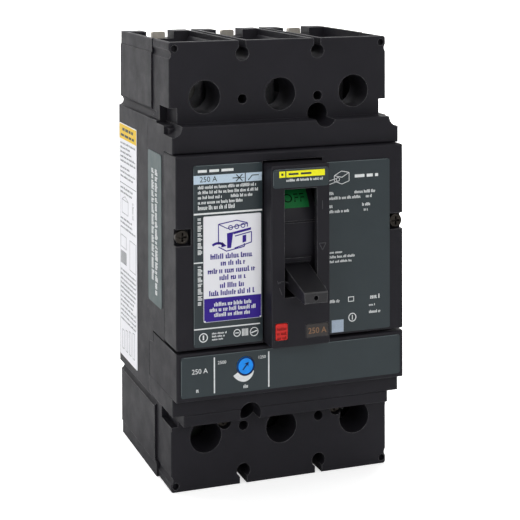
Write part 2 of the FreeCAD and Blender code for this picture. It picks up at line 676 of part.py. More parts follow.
def line_terminal(pole):
    """Line strap with the fixed contact pad at its inner end and the tab at its outer end."""
    strap = block(about(pole, STRAP_HALF_WIDTH), STRAP_DEPTH, (22.0, 82.0))
    pad = block(about(pole, ARM_HALF_WIDTH), (STRAP_DEPTH[1], STRAP_DEPTH[1] + PAD_THICKNESS), (23.0, 31.0))
    return fused([strap, pad, terminal_tab(pole, 1.0)])


def load_conductor(pole):
    """Fixed contact, heater strap and load terminal in one bent bar."""
    near, far = LOAD_BAR_DEPTH
    outline = [(near, -6.0), (far, -6.0), (far, LOAD_STEP_Z[0]), (STRAP_DEPTH[1], LOAD_STEP_Z[0]),
               (STRAP_DEPTH[1], -82.0), (STRAP_DEPTH[0], -82.0), (STRAP_DEPTH[0], LOAD_STEP_Z[1]),
               (near, LOAD_STEP_Z[1])]
    bar = prism_x(outline, about(pole, LOAD_BAR_HALF_WIDTH))
    pad = block(about(pole, ARM_HALF_WIDTH), (near - PAD_THICKNESS, near), (-17.0, -9.0))
    return fused([bar, pad, terminal_tab(pole, -1.0)])


def lug(pole, sign, screw_z):
    """Box lug: aluminium body with a wire bore along Z and a threaded screw hole at the front."""
    z = sorted((sign * LUG_Z[0], sign * LUG_Z[1]))
    body = rounded_block(about(pole, LUG_HALF_WIDTH), LUG_DEPTH, z, 1.5, (0, 0, 1))
    wire = rod_z(pole, WIRE_DEPTH, (z[0] - 1.0, z[1] + 1.0), WIRE_RADIUS)
    hole = rod_y(pole, (WIRE_DEPTH, LUG_DEPTH[1] + 1.0), screw_z, LUG_SCREW_RADIUS + RUNNING)
    return cut(body, [wire, hole])


def lug_screw(pole, screw_z):
    """Set screw with a hexagon socket."""
    top = LUG_DEPTH[1] + 4.0
    screw = rod_y(pole, (WIRE_DEPTH + WIRE_RADIUS + 1.0, top), screw_z, LUG_SCREW_RADIUS)
    screw = front_rounded(screw, top, 0.6)
    corners = [(pole + 3.2 * math.cos(math.radians(60 * i)), screw_z + 3.2 * math.sin(math.radians(60 * i)))
               for i in range(6)]
    return cut(screw, [prism_y(corners, (top - 5.0, top + 1.0))])


def contact_rotor(pole):
    """Insulating barrel, slotted for the contact arm and bored for the shaft."""
    barrel = rod_x(about(pole, ROTOR_HALF_WIDTH), ROTOR[0], ROTOR[1], ROTOR_RADIUS)
    slot_depth = about(ROTOR[0], ARM_HALF_THICKNESS + 0.3)
    slot = block(about(pole, ARM_HALF_WIDTH + 0.2), slot_depth, about(ROTOR[1], 15.0))
    hub = rod_x(about(pole, ARM_HALF_WIDTH + 0.2), ROTOR[0], ROTOR[1], 5.8)
    bore = rod_x(about(pole, 10.0), ROTOR[0], ROTOR[1], SHAFT_RADIUS + 0.02)
    return cut(barrel, [turned(slot, ROTOR, -ARM_OFF_ANGLE), hub, bore])


def contact_arm(pole):
    """Double-ended arm with a contact pad at each tip, drawn open."""
    arm = block(about(pole, ARM_HALF_WIDTH), about(ROTOR[0], ARM_HALF_THICKNESS), about(ROTOR[1], ARM_REACH))
    hub = rod_x(about(pole, ARM_HALF_WIDTH), ROTOR[0], ROTOR[1], 5.5)
    arm = fused([arm, hub])
    arm = cut(arm, [rod_x(about(pole, 5.0), ROTOR[0], ROTOR[1], SHAFT_RADIUS + 0.02)])
    return turned(arm, ROTOR, -ARM_OFF_ANGLE)


def contact_shaft():
    return rod_x((-45.0, 45.0), ROTOR[0], ROTOR[1], SHAFT_RADIUS)


def pole_cartridge(pole):
    """Two half shells that close round one pole's contacts and arc chutes."""
    halves = []
    for side in (-1.0, 1.0):
        outer_x = sorted((pole + side * 0.05, pole + side * CARTRIDGE_HALF_WIDTH))
        inner_x = sorted((pole - side, pole + side * (CARTRIDGE_HALF_WIDTH - CARTRIDGE_WALL)))
        inner_depth = (CARTRIDGE_DEPTH[0] + CARTRIDGE_WALL, CARTRIDGE_DEPTH[1] - CARTRIDGE_WALL)
        inner_z = (CARTRIDGE_Z[0] + CARTRIDGE_WALL, CARTRIDGE_Z[1] - CARTRIDGE_WALL)
        shell = cut(block(outer_x, CARTRIDGE_DEPTH, CARTRIDGE_Z), [
            block(inner_x, inner_depth, inner_z),
            block(about(pole, STRAP_HALF_WIDTH + 0.2), (4.4, STRAP_DEPTH[1] + 0.2), (35.0, 45.0)),
            block(about(pole, LOAD_BAR_HALF_WIDTH + 0.2), (35.8, 39.2), (-30.0, -20.0)),
            rod_x((pole - 20.0, pole + 20.0), ROTOR[0], ROTOR[1], SHAFT_RADIUS + 0.4),
        ])
        halves.append(shell)
    return halves


def arc_chute_plates():
    """Steel plates fanned round the path of each contact tip."""
    plates = []
    for pole in POLES.values():
        for end in (0.0, 180.0):
            for index in range(PLATE_COUNT):
                plate = block(about(pole, PLATE_HALF_WIDTH), about(ROTOR[0], 0.5),
                              (ROTOR[1] + PLATE_RADII[0], ROTOR[1] + PLATE_RADII[1]))
                angle = PLATE_FIRST_ANGLE + index * PLATE_PITCH_ANGLE
                plates.append(turned(plate, ROTOR, end - angle))
    return plates


# ---- handle and mechanism ----------------------------------------------------------------
def on_handle(shape):
    """Turns a shape drawn along the depth, level with the pivot, to the OFF angle."""
    return turned(shape, PIVOT, HANDLE_OFF_ANGLE)


def toggle_handle():
    """Grip with a level upper side, a lower side that tapers, and a small blind hole in its end."""
    depth, z = PIVOT
    root, tip = depth + SHUTTER_RADII[1] - 0.6, depth + HANDLE_TIP
    side = prism_x([(root, z - 6.2), (tip + 0.2, z - 2.5), (tip + 0.6, z - 2.1), (tip - 0.6, z + 1.7),
                    (tip - 1.0, z + 2.05), (root, z + 2.3)], (-7.0, 7.0))
    half_root, half_tip = 5.9, 5.25
    plan = [(-half_root, root), (half_root, root), (half_tip, tip - 1.0), (half_tip - 0.4, tip + 1.0),
            (0.4 - half_tip, tip + 1.0), (-half_tip, tip - 1.0)]
    corners = [FreeCAD.Vector(px, -pd, z - 10.0) for px, pd in plan]
    taper = Part.Face(Part.makePolygon(corners + corners[:1])).extrude(FreeCAD.Vector(0, 0, 20.0))
    hole = rod_y(0.0, (tip - 4.0, tip + 2.0), z - 0.2, 1.0)
    return on_handle(cut(side.common(taper), [hole]))


def arc_shell(radii, span, x):
    """Part of a cylinder shell about the handle pivot, between two angles from the level line."""
    depth, z = PIVOT

    def point(radius, angle):
        turn = math.radians(angle)
        return FreeCAD.Vector(x[0], -(depth + radius * math.cos(turn)), z + radius * math.sin(turn))

    middle = (span[0] + span[1]) / 2.0
    inner, outer = radii
    edges = [
        Part.Arc(point(outer, span[0]), point(outer, middle), point(outer, span[1])).toShape(),
        Part.LineSegment(point(outer, span[1]), point(inner, span[1])).toShape(),
        Part.Arc(point(inner, span[1]), point(inner, middle), point(inner, span[0])).toShape(),
        Part.LineSegment(point(inner, span[0]), point(outer, span[0])).toShape(),
    ]
    return Part.Face(Part.Wire(edges)).extrude(FreeCAD.Vector(x[1] - x[0], 0, 0))


def handle_shutter():
    """Curved shield that keeps the handle slot closed, with ridges above the grip and a groove."""
    half = (-SHUTTER_HALF_WIDTH, SHUTTER_HALF_WIDTH)
    depth, z = PIVOT
    outer = SHUTTER_RADII[1]
    shell = arc_shell(SHUTTER_RADII, SHUTTER_SPAN, half)
    pad = arc_shell((outer - 0.5, outer + 0.9), (5.4, 8.4), (-6.6, 6.6))
    lip = arc_shell((outer - 0.5, outer + 0.6), (3.9, 4.5), (-6.6, 6.6))
    socket = block((-6.2, 6.2), (depth + 30.0, depth + 40.0), (z + SOCKET_Z[0], z + SOCKET_Z[1]))
    groove = arc_shell((outer - 0.6, outer + 1.0), (31.6, 32.6), half)
    return on_handle(cut(fused([shell, pad, lip]), [socket, groove]))


def position_flag():
    """Coloured strip on the shutter, seen above the handle in the OFF position."""
    radius = SHUTTER_RADII[1] + STICK_GAP
    return on_handle(arc_shell((radius, radius + SKIN), FLAG_SPAN, (-FLAG_HALF_WIDTH, FLAG_HALF_WIDTH)))


def handle_yoke():
    """Two side arms on the pivot pin, joined by a bridge that carries the grip and the shutter."""
    depth, z = PIVOT
    reach = SHUTTER_RADII[0] - 0.1
    arms = []
    for side in (-1.0, 1.0):
        x = sorted((side * 8.6, side * 9.8))
        arms.append(rod_x(x, depth, z, 3.5))
        arms.append(block(x, (depth, depth + reach - 2.0), about(z, 3.4)))
    bridge = block((-9.8, 9.8), (depth + reach - 4.0, depth + reach - 0.6), about(z, 4.0))
    stem = block((-5.6, 5.6), (depth + reach - 1.0, depth + SHUTTER_RADII[1] - 0.8),
                 (z + SOCKET_Z[0] + 0.8, z + SOCKET_Z[1] - 0.8))
    pin = rod_x((-11.0, 11.0), depth, z, PIVOT_PIN_RADIUS + RUNNING)
    return on_handle(cut(fused(arms + [bridge, stem]), [pin]))


def mechanism_pins():
    """Pivot pins of the handle yoke and of the cradle."""
    yoke_pin = rod_x((-12.6, 12.6), PIVOT[0], PIVOT[1], PIVOT_PIN_RADIUS)
    cradle_pin = rod_x((-12.6, 12.6), CRADLE_PIVOT[0], CRADLE_PIVOT[1], CRADLE_PIN_RADIUS)
    return [yoke_pin, cradle_pin]


def mechanism_side_plates():
    """Steel plates either side of the handle yoke; they carry both pivot pins."""
    plates = []
    for side in (-1.0, 1.0):
        x = sorted((side * SIDE_PLATE_X[0], side * SIDE_PLATE_X[1]))
        outline = [(40.7, -18.0), (40.7, 39.0), (57.0, 39.0), (61.5, 30.0), (61.5, -4.0), (52.0, -18.0)]
        plates.append(cut(prism_x(outline, x), [
            rod_x((-20.0, 20.0), PIVOT[0], PIVOT[1], PIVOT_PIN_RADIUS + 0.02),
            rod_x((-20.0, 20.0), CRADLE_PIVOT[0], CRADLE_PIVOT[1], CRADLE_PIN_RADIUS + 0.02),
        ]))
    return plates


def cradle():
    """Spring-loaded latch lever; its toe rests over the trip bar's latch finger."""
    x = (-1.5, 1.5)
    depth, z = CRADLE_PIVOT
    body = prism_x([(depth - 2.2, z), (depth + 4.0, z), (depth + 4.5, -8.0), (depth + 4.5, -13.5),
                    (depth - 2.0, -13.5)], x)
    boss = rod_x(x, depth, z, 4.0)
    return cut(fused([body, boss]), [rod_x((-5.0, 5.0), depth, z, CRADLE_PIN_RADIUS + 0.02)])


def main_springs():
    """Pair of coil springs between the pivot and the yoke's bridge."""
    depth, z = PIVOT
    springs = []
    for x in (-5.3, 5.3):
        spring = placed(coil(2.1, 0.45, 1.6, 20.0), (x, -(depth + 8.0), z), (0, -1, 0))
        springs.append(on_handle(spring))
    return springs


# ---- trip unit ---------------------------------------------------------------------------
def trip_button():
    """Push-to-trip button with a flange behind the nose face and a stem behind that."""
    x, z = button_centre()
    front = NOSE_DEPTH + 0.4
    back = BUTTON_GUIDE_DEPTH[0] - 0.8
    head = front_rounded(rounded_block(BUTTON_X, (82.5, front), BUTTON_Z, 0.8), front, 0.5)
    flange_z = (COVER_BOTTOM + 2.6, BUTTON_Z[1] + 0.9)
    flange = block((BUTTON_X[0] - 0.1, BUTTON_X[1] + 1.0), (81.5, 83.0), flange_z)
    stem = rod_y(x, (back, 82.0), z, BUTTON_STEM_RADIUS)
    return fused([head, flange, stem])


def trip_button_spring():
    """Coil spring round the button's stem, between the guide and the flange."""
    x, z = button_centre()
    return placed(coil(2.1, 0.3, 1.8, 12.0), (x, -81.1, z), (0, 1, 0))


def trip_bar():
    """Cross bar with a latch finger, a button finger and one short finger for each pole."""
    depth, z = TRIP_BAR
    near, far = LATCH_DEPTH
    parts = [rod_x((-46.0, 46.0), depth, z, TRIP_BAR_RADIUS)]
    parts.append(prism_x([(depth - 1.0, z), (depth + 1.2, z), (far, -27.0), (far, -14.6), (near, -14.6),
                          (near, -27.0)], (-1.5, 1.5)))
    x, button_z = button_centre()
    top = button_z - 0.4
    parts.append(prism_x([(depth - 2.0, z), (depth + 2.0, z), (64.0, top - 3.5), (64.0, top), (62.0, top),
                          (60.0, top - 3.5)], about(x, 1.6)))
    for pole in POLES.values():
        parts.append(block(about(pole + BIMETAL_OFFSET, 1.6), (50.8, depth), (-46.5, -42.5)))
    return fused(parts)


def adjust_dial():
    """Round dial with a screwdriver slot, on a shaft."""
    head = rod_y(DIAL[0], (COVER_DEPTH - 5.5, COVER_DEPTH + 0.35), DIAL[1], DIAL_RADIUS)
    head = front_rounded(head, COVER_DEPTH + 0.35, 0.3)
    shaft = rod_y(DIAL[0], (70.0, COVER_DEPTH - 5.0), DIAL[1], DIAL_SHAFT_RADIUS)
    return fused([head, shaft])


def bimetal(pole):
    """Strip hung from the heater bar, free at its lower end."""
    x = about(pole + BIMETAL_OFFSET, 2.0)
    foot = block(x, (LOAD_BAR_DEPTH[1] + STICK_GAP, 50.2), (-33.3, -31.6))
    strip = block(x, (49.2, 50.2), (-46.0, -31.6))
    return fused([foot, strip])


def magnet_yoke(pole):
    """Steel channel round the heater bar."""
    z = (-46.0, -36.0)
    back = block(about(pole, 9.4), (31.8, 34.2), z)
    left = block((pole - 9.4, pole - 7.2), (34.0, 43.6), z)
    right = block((pole + 7.2, pole + 9.4), (34.0, 43.6), z)
    return fused([back, left, right])


def armature(pole):
    """Flap that the yoke pulls in; it pivots at its lower edge."""
    flap = block(about(pole, 9.4), (45.6, 47.2), (-48.5, -35.0))
    hinge = rod_x(about(pole, 11.0), 46.4, -48.5, 0.8)
    return fused([flap, hinge])


# ---- build -------------------------------------------------------------------------------
def build():
    """Writes every node, one file each."""
    os.makedirs("parts", exist_ok=True)
    save("rear_housing", rear_housing())
    save("front_housing", front_housing())
    save("accessory_cover", accessory_cover())
    save("trip_unit_housing", trip_unit_housing())
    save("load_terminal_cover", load_terminal_cover())
    save("accessory_cover_screws", accessory_cover_screws())
    save("load_cover_screws", load_cover_screws())
    save("front_housing_screws", front_housing_screws())
    save("rating_insert", rating_insert())
    save("front_label_left", front_label_left())
    save("front_label_right", front_label_right())
    save("accessory_sticker", accessory_sticker())
    save("nose_label", nose_label())
    save("trip_label", trip_label())
    save("side_label", side_plate((45.0, 63.0), (-19.0, 47.0), HALF_WIDTH, 1.5))
    save("side_sticker", side_plate((1.5, 28.0), (-57.0, 52.5), HALF_WIDTH, 0.6))
    for name, pole in POLES.items():
        save("line_terminal_" + name, line_terminal(pole))
        save("line_lug_" + name, lug(pole, 1.0, LINE_SCREW_Z))
        save("line_lug_screw_" + name, lug_screw(pole, LINE_SCREW_Z))
        save("load_conductor_" + name, load_conductor(pole))
        save("load_lug_" + name, lug(pole, -1.0, LOAD_SCREW_Z))
        save("load_lug_screw_" + name, lug_screw(pole, LOAD_SCREW_Z))
        save("contact_arm_" + name, contact_arm(pole))
        save("pole_cartridge_" + name, pole_cartridge(pole))
        save("armature_" + name, armature(pole))
    save("contact_rotors", [contact_rotor(pole) for pole in POLES.values()])
    save("contact_shaft", contact_shaft())
    save("arc_chute_plates", arc_chute_plates())
    save("bimetals", [bimetal(pole) for pole in POLES.values()])
    save("magnet_yokes", [magnet_yoke(pole) for pole in POLES.values()])
    save("toggle_handle", toggle_handle())
    save("handle_shutter", handle_shutter())
    save("position_flag", position_flag())
    save("handle_yoke", handle_yoke())
    save("mechanism_pins", mechanism_pins())
    save("mechanism_side_plates", mechanism_side_plates())
    save("cradle", cradle())
    save("main_springs", main_springs())
    save("trip_button", trip_button())
    save("trip_button_spring", trip_button_spring())
    save("trip_bar", trip_bar())
    save("adjust_dial", adjust_dial())


build()
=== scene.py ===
import json
import math
import random

import bmesh
import bpy
from mathutils import Matrix, Vector


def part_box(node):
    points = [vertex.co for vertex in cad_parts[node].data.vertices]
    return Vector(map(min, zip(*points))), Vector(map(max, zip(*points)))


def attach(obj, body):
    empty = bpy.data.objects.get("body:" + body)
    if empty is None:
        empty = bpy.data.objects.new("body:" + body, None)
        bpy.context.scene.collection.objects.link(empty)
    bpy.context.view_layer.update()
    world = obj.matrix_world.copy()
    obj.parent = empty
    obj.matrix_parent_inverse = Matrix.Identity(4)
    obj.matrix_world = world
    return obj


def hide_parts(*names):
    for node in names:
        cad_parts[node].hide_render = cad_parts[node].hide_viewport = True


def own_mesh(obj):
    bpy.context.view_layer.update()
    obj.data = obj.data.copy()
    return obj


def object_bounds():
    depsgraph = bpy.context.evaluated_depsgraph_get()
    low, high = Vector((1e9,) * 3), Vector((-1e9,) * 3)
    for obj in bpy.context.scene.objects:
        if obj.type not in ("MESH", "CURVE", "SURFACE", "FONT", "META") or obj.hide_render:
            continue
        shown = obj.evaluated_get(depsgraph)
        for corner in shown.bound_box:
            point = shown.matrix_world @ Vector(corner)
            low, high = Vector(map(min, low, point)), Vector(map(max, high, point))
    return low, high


# The looks of a three-pole molded case breaker. Places and sizes come from the frame. Lengths in
# the functions below are millimetres, and "depth" runs forward from the rear face (towards -Y).

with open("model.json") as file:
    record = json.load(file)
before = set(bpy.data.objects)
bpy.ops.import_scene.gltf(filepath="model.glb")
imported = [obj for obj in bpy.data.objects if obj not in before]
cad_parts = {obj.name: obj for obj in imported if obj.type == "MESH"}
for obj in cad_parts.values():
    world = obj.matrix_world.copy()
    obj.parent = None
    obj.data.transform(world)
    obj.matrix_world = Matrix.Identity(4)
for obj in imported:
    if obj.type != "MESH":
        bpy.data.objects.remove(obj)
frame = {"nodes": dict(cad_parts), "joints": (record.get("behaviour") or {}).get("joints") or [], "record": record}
CAD_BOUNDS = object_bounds()
NODES = frame["nodes"]
JOINTS = {joint["name"]: joint for joint in frame["joints"]}
MM = 0.001

CASE = "case"               # the body that stands still
INK = 0.05                  # thickness of one printed layer
EDGE_WEAR_AND_HIGHLIGHT = 0.20            # how much paler the edges are painted than the moulded face: partly worn plastic, partly a painted highlight
FONT_SIZE_PER_HEIGHT = 1.38  # font size that gives capitals of a wanted height


# ---- places, from the frame ---------------------------------------------------------------
class Edges:
    """A node's box at rest in millimetres."""

    def __init__(self, node):
        low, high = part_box(node)
        self.left, self.right = low.x / MM, high.x / MM
        self.bottom, self.top = low.z / MM, high.z / MM
        self.back, self.front = -high.y / MM, -low.y / MM
        self.middle_x = (self.left + self.right) / 2.0
        self.middle_z = (self.bottom + self.top) / 2.0


def point(x, depth, z):
    return Vector((x * MM, -depth * MM, z * MM))


# ---- materials ----------------------------------------------------------------------------
class Finish:
    """Wires the nodes of one procedural material."""

    def __init__(self, name):
        self.material = bpy.data.materials.new(name)
        self.material.use_nodes = True
        self.tree = self.material.node_tree
        self.surface = self.tree.nodes["Principled BSDF"]
        self.place = self.tree.nodes.new("ShaderNodeTexCoord").outputs["Object"]

    def link(self, source, target):
        self.tree.links.new(source, target)

    def stretched(self, scale):
        mapping = self.tree.nodes.new("ShaderNodeMapping")
        mapping.inputs["Scale"].default_value = scale
        self.link(self.place, mapping.inputs["Vector"])
        return mapping.outputs["Vector"]

    def noise(self, feature, detail=3.0, rough=0.55, stretch=None):
        """Noise whose features are about this many millimetres across."""
        node = self.tree.nodes.new("ShaderNodeTexNoise")
        node.inputs["Scale"].default_value = 1.0 / (feature * MM)
        node.inputs["Detail"].default_value = detail
        node.inputs["Roughness"].default_value = rough
        self.link(self.stretched(stretch) if stretch else self.place, node.inputs["Vector"])
        return node.outputs["Fac"]

    def spread(self, value, low, high, start=0.3, end=0.7):
        node = self.tree.nodes.new("ShaderNodeMapRange")
        node.inputs["From Min"].default_value = start
        node.inputs["From Max"].default_value = end
        node.inputs["To Min"].default_value = low
        node.inputs["To Max"].default_value = high
        self.link(value, node.inputs["Value"])
        return node.outputs["Result"]

    def mixed(self, factor, first, second):
        node = self.tree.nodes.new("ShaderNodeMix")
        node.data_type = "RGBA"
        self.link(factor, node.inputs["Factor"])
        for value, socket in ((first, node.inputs[6]), (second, node.inputs[7])):
            if isinstance(value, tuple):
                socket.default_value = (*value, 1.0)
            else:
                self.link(value, socket)
        return node.outputs[2]

    def product(self, first, second):
        node = self.tree.nodes.new("ShaderNodeMath")
        node.operation = "MULTIPLY"
        self.link(first, node.inputs[0])
        if isinstance(second, float):
            node.inputs[1].default_value = second
        else:
            self.link(second, node.inputs[1])
        return node.outputs[0]

    def rounded_normal(self, radius):
        node = self.tree.nodes.new("ShaderNodeBevel")
        node.samples = 4
        node.inputs["Radius"].default_value = radius * MM
        return node.outputs["Normal"]

    def edge_mask(self, radius):
        """1 on sharp outward edges, 0 on flat faces and in corners and seams."""
        geometry = self.tree.nodes.new("ShaderNodeNewGeometry")
        dot = self.tree.nodes.new("ShaderNodeVectorMath")
        dot.operation = "DOT_PRODUCT"
        self.link(self.rounded_normal(radius), dot.inputs[0])
        self.link(geometry.outputs["Normal"], dot.inputs[1])
        turned_away = self.spread(dot.outputs["Value"], 1.0, 0.0, 0.80, 0.99)
        hollow = self.tree.nodes.new("ShaderNodeAmbientOcclusion")
        hollow.samples = 4
        hollow.inputs["Distance"].default_value = 1.2 * MM
        return self.product(turned_away, self.spread(hollow.outputs["AO"], 0.0, 1.0, 0.70, 0.95))

    def bump(self, height, strength, depth, normal=None):
        node = self.tree.nodes.new("ShaderNodeBump")
        node.inputs["Strength"].default_value = strength
        node.inputs["Distance"].default_value = depth * MM
        self.link(height, node.inputs["Height"])
        if normal is not None:
            self.link(normal, node.inputs["Normal"])
        return node.outputs["Normal"]

    def finish(self, colour, roughness, normal, metallic=0.0, specular=0.5, coat=0.0):
        self.link(colour, self.surface.inputs["Base Color"])
        self.link(roughness, self.surface.inputs["Roughness"])
        self.link(normal, self.surface.inputs["Normal"])
        self.surface.inputs["Metallic"].default_value = metallic
        self.surface.inputs["Specular IOR Level"].default_value = specular
        self.surface.inputs["Coat Weight"].default_value = coat
        return self.material


def shade(colour, factor):
    return tuple(min(1.0, channel * factor) for channel in colour)


def moulded_plastic(name, colour, roughness=0.5, grain=0.35, relief=0.5, edge=0.9):
    """Moulded plastic: spark-eroded grain, faint flow clouds, and paler edges, partly worn and partly a painted
    highlight.
    """
    f = Finish(name)
    clouds = f.noise(28.0, 4.0, 0.6)
    fine = f.noise(grain, 2.0, 0.6)
    body = f.mixed(f.spread(clouds, 0.0, 1.0), shade(colour, 0.86), shade(colour, 1.14))
    body = f.mixed(f.spread(fine, 0.0, 0.30), body, shade(colour, 1.45))
    # Outward edges painted paler, broken up by noise: partly wear, partly a painted highlight where the edges
    # catch the light.
    edge_breakup = f.spread(f.noise(4.0, 5.0, 0.7), 0.35, 1.0, 0.40, 0.60)
    rubbed_and_highlit = f.product(f.product(f.edge_mask(0.40), edge_breakup), edge)
    body = f.mixed(rubbed_and_highlit, body, tuple(channel + EDGE_WEAR_AND_HIGHLIGHT for channel in shade(colour, 1.9)))
    rough = f.spread(f.noise(9.0, 5.0, 0.65), roughness - 0.07, roughness + 0.08)
    normal = f.bump(fine, relief, 0.03, f.rounded_normal(0.30))
    return f.finish(body, rough, normal, specular=0.14)


def printed_film(name, colour, roughness=0.34, mottle=0.06):
    """Printed label stock: satin film with a very fine tooth, faint waves and small scratches."""
    f = Finish(name)
    tone = f.mixed(f.spread(f.noise(14.0, 4.0, 0.6), 0.0, 1.0), shade(colour, 1.0 - mottle),
                   shade(colour, 1.0 + mottle))
    scratch = f.noise(0.6, 3.0, 0.7, (1.0, 1.0, 9.0))
    tone = f.mixed(f.spread(scratch, 0.0, 0.10, 0.62, 0.78), tone, shade(colour, 1.5))
    rough = f.spread(f.noise(6.0, 5.0, 0.7), roughness - 0.06, roughness + 0.12)
    normal = f.bump(f.noise(0.18, 2.0, 0.5), 0.25, 0.01, f.bump(f.noise(22.0, 2.0, 0.5), 0.2, 0.15))
    return f.finish(tone, rough, normal, specular=0.3, coat=0.04)


def printing_ink(name, colour, roughness=0.45, specular=0.2):
    """Screen-printed ink: slightly uneven cover and a matt tooth."""
    f = Finish(name)
    tone = f.mixed(f.spread(f.noise(0.5, 3.0, 0.6), 0.0, 1.0), shade(colour, 0.90), shade(colour, 1.05))
    rough = f.spread(f.noise(1.5, 3.0, 0.6), roughness - 0.05, roughness + 0.1)
    return f.finish(tone, rough, f.bump(f.noise(0.2, 2.0, 0.5), 0.2, 0.01), specular=specular)


def rolled_metal(name, colour, roughness, stretch=(1.0, 1.0, 0.06), relief=0.35, grain=0.5):
    """Plated or bare metal with drawn grain along its length, tarnish clouds and edges painted brighter as a
    highlight.
    """
    f = Finish(name)
    grain_lines = f.noise(grain, 4.0, 0.6, stretch)
    tarnish = f.noise(7.0, 5.0, 0.65)
    tone = f.mixed(f.spread(tarnish, 0.0, 1.0), shade(colour, 0.72), shade(colour, 1.08))
    # Painted highlight: outward edges mixed towards a brighter shade of the metal.
    tone = f.mixed(f.product(f.edge_mask(0.25), 0.6), tone, shade(colour, 1.35))
    rough = f.spread(grain_lines, roughness - 0.08, roughness + 0.14)
    normal = f.bump(grain_lines, relief, 0.02, f.rounded_normal(0.15))
    return f.finish(tone, rough, normal, metallic=1.0)


def clear_coated(name, colour, roughness=0.28, coat=0.2, specular=0.5):
    """Glossy coloured plastic of buttons, dials and windows, with edges painted paler as a highlight."""
    f = Finish(name)
    tone = f.mixed(f.spread(f.noise(3.0, 4.0, 0.6), 0.0, 1.0), shade(colour, 0.88), shade(colour, 1.1))
    # Painted highlight: outward edges mixed towards a slightly paler tone.
    tone = f.mixed(f.product(f.edge_mask(0.25), 0.35), tone, tuple(min(1.0, c + 0.08) for c in colour))
    rough = f.spread(f.noise(2.0, 5.0, 0.7), roughness - 0.06, roughness + 0.12)
    normal = f.bump(f.noise(0.4, 2.0, 0.5), 0.25, 0.015, f.rounded_normal(0.2))
    return f.finish(tone, rough, normal, specular=specular, coat=coat)


def handled_plastic(name, colour):
    """Moulded plastic polished by fingers: glossier faces and paler edges, partly worn and partly a painted
    highlight.
    """
    material = moulded_plastic(name, colour, roughness=0.36, grain=0.5, relief=0.25, edge=1.1)
    material.node_tree.nodes["Principled BSDF"].inputs["Specular IOR Level"].default_value = 0.45
    return material


def make_finishes():
    """Every finish, keyed by the record's material slot, and the inks."""
    return {
        "molded_case": moulded_plastic("molded_case", (0.0148, 0.0141, 0.0178), 0.50),
        "molded_cover": moulded_plastic("molded_cover", (0.0138, 0.0131, 0.0168), 0.46),
        "handled_plastic": handled_plastic("handled_plastic", (0.0095, 0.0090, 0.0112)),
        "blackened_steel": rolled_metal("blackened_steel", (0.045, 0.04, 0.035), 0.40, relief=0.6),
        "rating_plastic": clear_coated("rating_plastic", (0.010, 0.006, 0.0045), 0.35),
        "slate_label": printed_film("slate_label", (0.026, 0.037, 0.042)),
        "white_sticker": printed_film("white_sticker", (0.81, 0.81, 0.85), 0.42, 0.02),
        "grey_label": printed_film("grey_label", (0.080, 0.112, 0.114), 0.5),
        "thermoset": moulded_plastic("thermoset", (0.07, 0.035, 0.022), 0.55),
        "steel": rolled_metal("steel", (0.56, 0.55, 0.52), 0.34),
        "spring_steel": rolled_metal("spring_steel", (0.42, 0.42, 0.43), 0.30),
        "bimetal": rolled_metal("bimetal", (0.58, 0.52, 0.43), 0.30),
        "green_flag": clear_coated("green_flag", (0.004, 0.14, 0.032), 0.50, 0.0, 0.15),
        "red_plastic": clear_coated("red_plastic", (0.60, 0.014, 0.010), 0.45, 0.1, 0.3),
        "blue_plastic": clear_coated("blue_plastic", (0.004, 0.28, 0.92), 0.45, 0.05, 0.3),
        "plated_copper": rolled_metal("plated_copper", (0.56, 0.52, 0.46), 0.42),
        "copper": rolled_metal("copper", (0.72, 0.38, 0.22), 0.34),
        "lug_aluminium": rolled_metal("lug_aluminium", (0.66, 0.67, 0.69), 0.42),
        "ink_white": printing_ink("ink_white", (0.78, 0.80, 0.80)),
        "ink_pale_blue": printing_ink("ink_pale_blue", (0.53, 0.65, 0.76)),
        "ink_square_blue": printing_ink("ink_square_blue", (0.40, 0.48, 0.58)),
        "ink_slate": printing_ink("ink_slate", (0.030, 0.042, 0.050)),
        "ink_grey": printing_ink("ink_grey", (0.16, 0.17, 0.18)),
        "ink_purple": printing_ink("ink_purple", (0.034, 0.013, 0.25)),
        "ink_yellow": printing_ink("ink_yellow", (0.95, 0.91, 0.018)),
        "ink_amber": printing_ink("ink_amber", (0.80, 0.53, 0.015)),
        "ink_tan": printing_ink("ink_tan", (0.27, 0.15, 0.080)),
        # Painted highlight: raised nose marks coloured paler than the black plastic they are moulded in.
        "relief_painted_highlight": printing_ink("relief_painted_highlight", (0.060, 0.060, 0.066)),
        # Painted highlight: pale line along the lit top and left edges of the labels.
        "painted_edge_highlight": printing_ink("painted_edge_highlight", (0.16, 0.19, 0.20)),
        "ink_dark_green": printing_ink("ink_dark_green", (0.001, 0.008, 0.003), 0.6, 0.05),
        "ink_dark_red": printing_ink("ink_dark_red", (0.24, 0.006, 0.005)),
        "ink_navy": printing_ink("ink_navy", (0.006, 0.022, 0.12)),
    }


FINISHES = make_finishes()


def paint(obj, finish):
    obj.data.materials.clear()
    obj.data.materials.append(FINISHES[finish])


def dress_cad_nodes():
    for entry in frame["record"]["subparts"]:
        paint(NODES[entry["node"]], entry["material_slot"])
    paint(NODES["toggle_handle"], "handled_plastic")


# ---- thin printed and raised marks --------------------------------------------------------
# Filler ticks: share of tall ones, height of the low ones, tick width and word gap to the pitch.
TALL_SHARE = 0.35
LOW_TICK = 0.72
TICK_WIDTH = 0.62
WORD_GAP = 0.9


def on_front(depth):
    """Maps (across, up, height) to a point standing on a front-facing plane."""
    return lambda u, v, h: point(u, depth + h, v)


def on_left_side(x):
    """Maps (depth, up, height) to a point standing on a plane that faces left."""
    return lambda u, v, h: point(x - h, u, v)


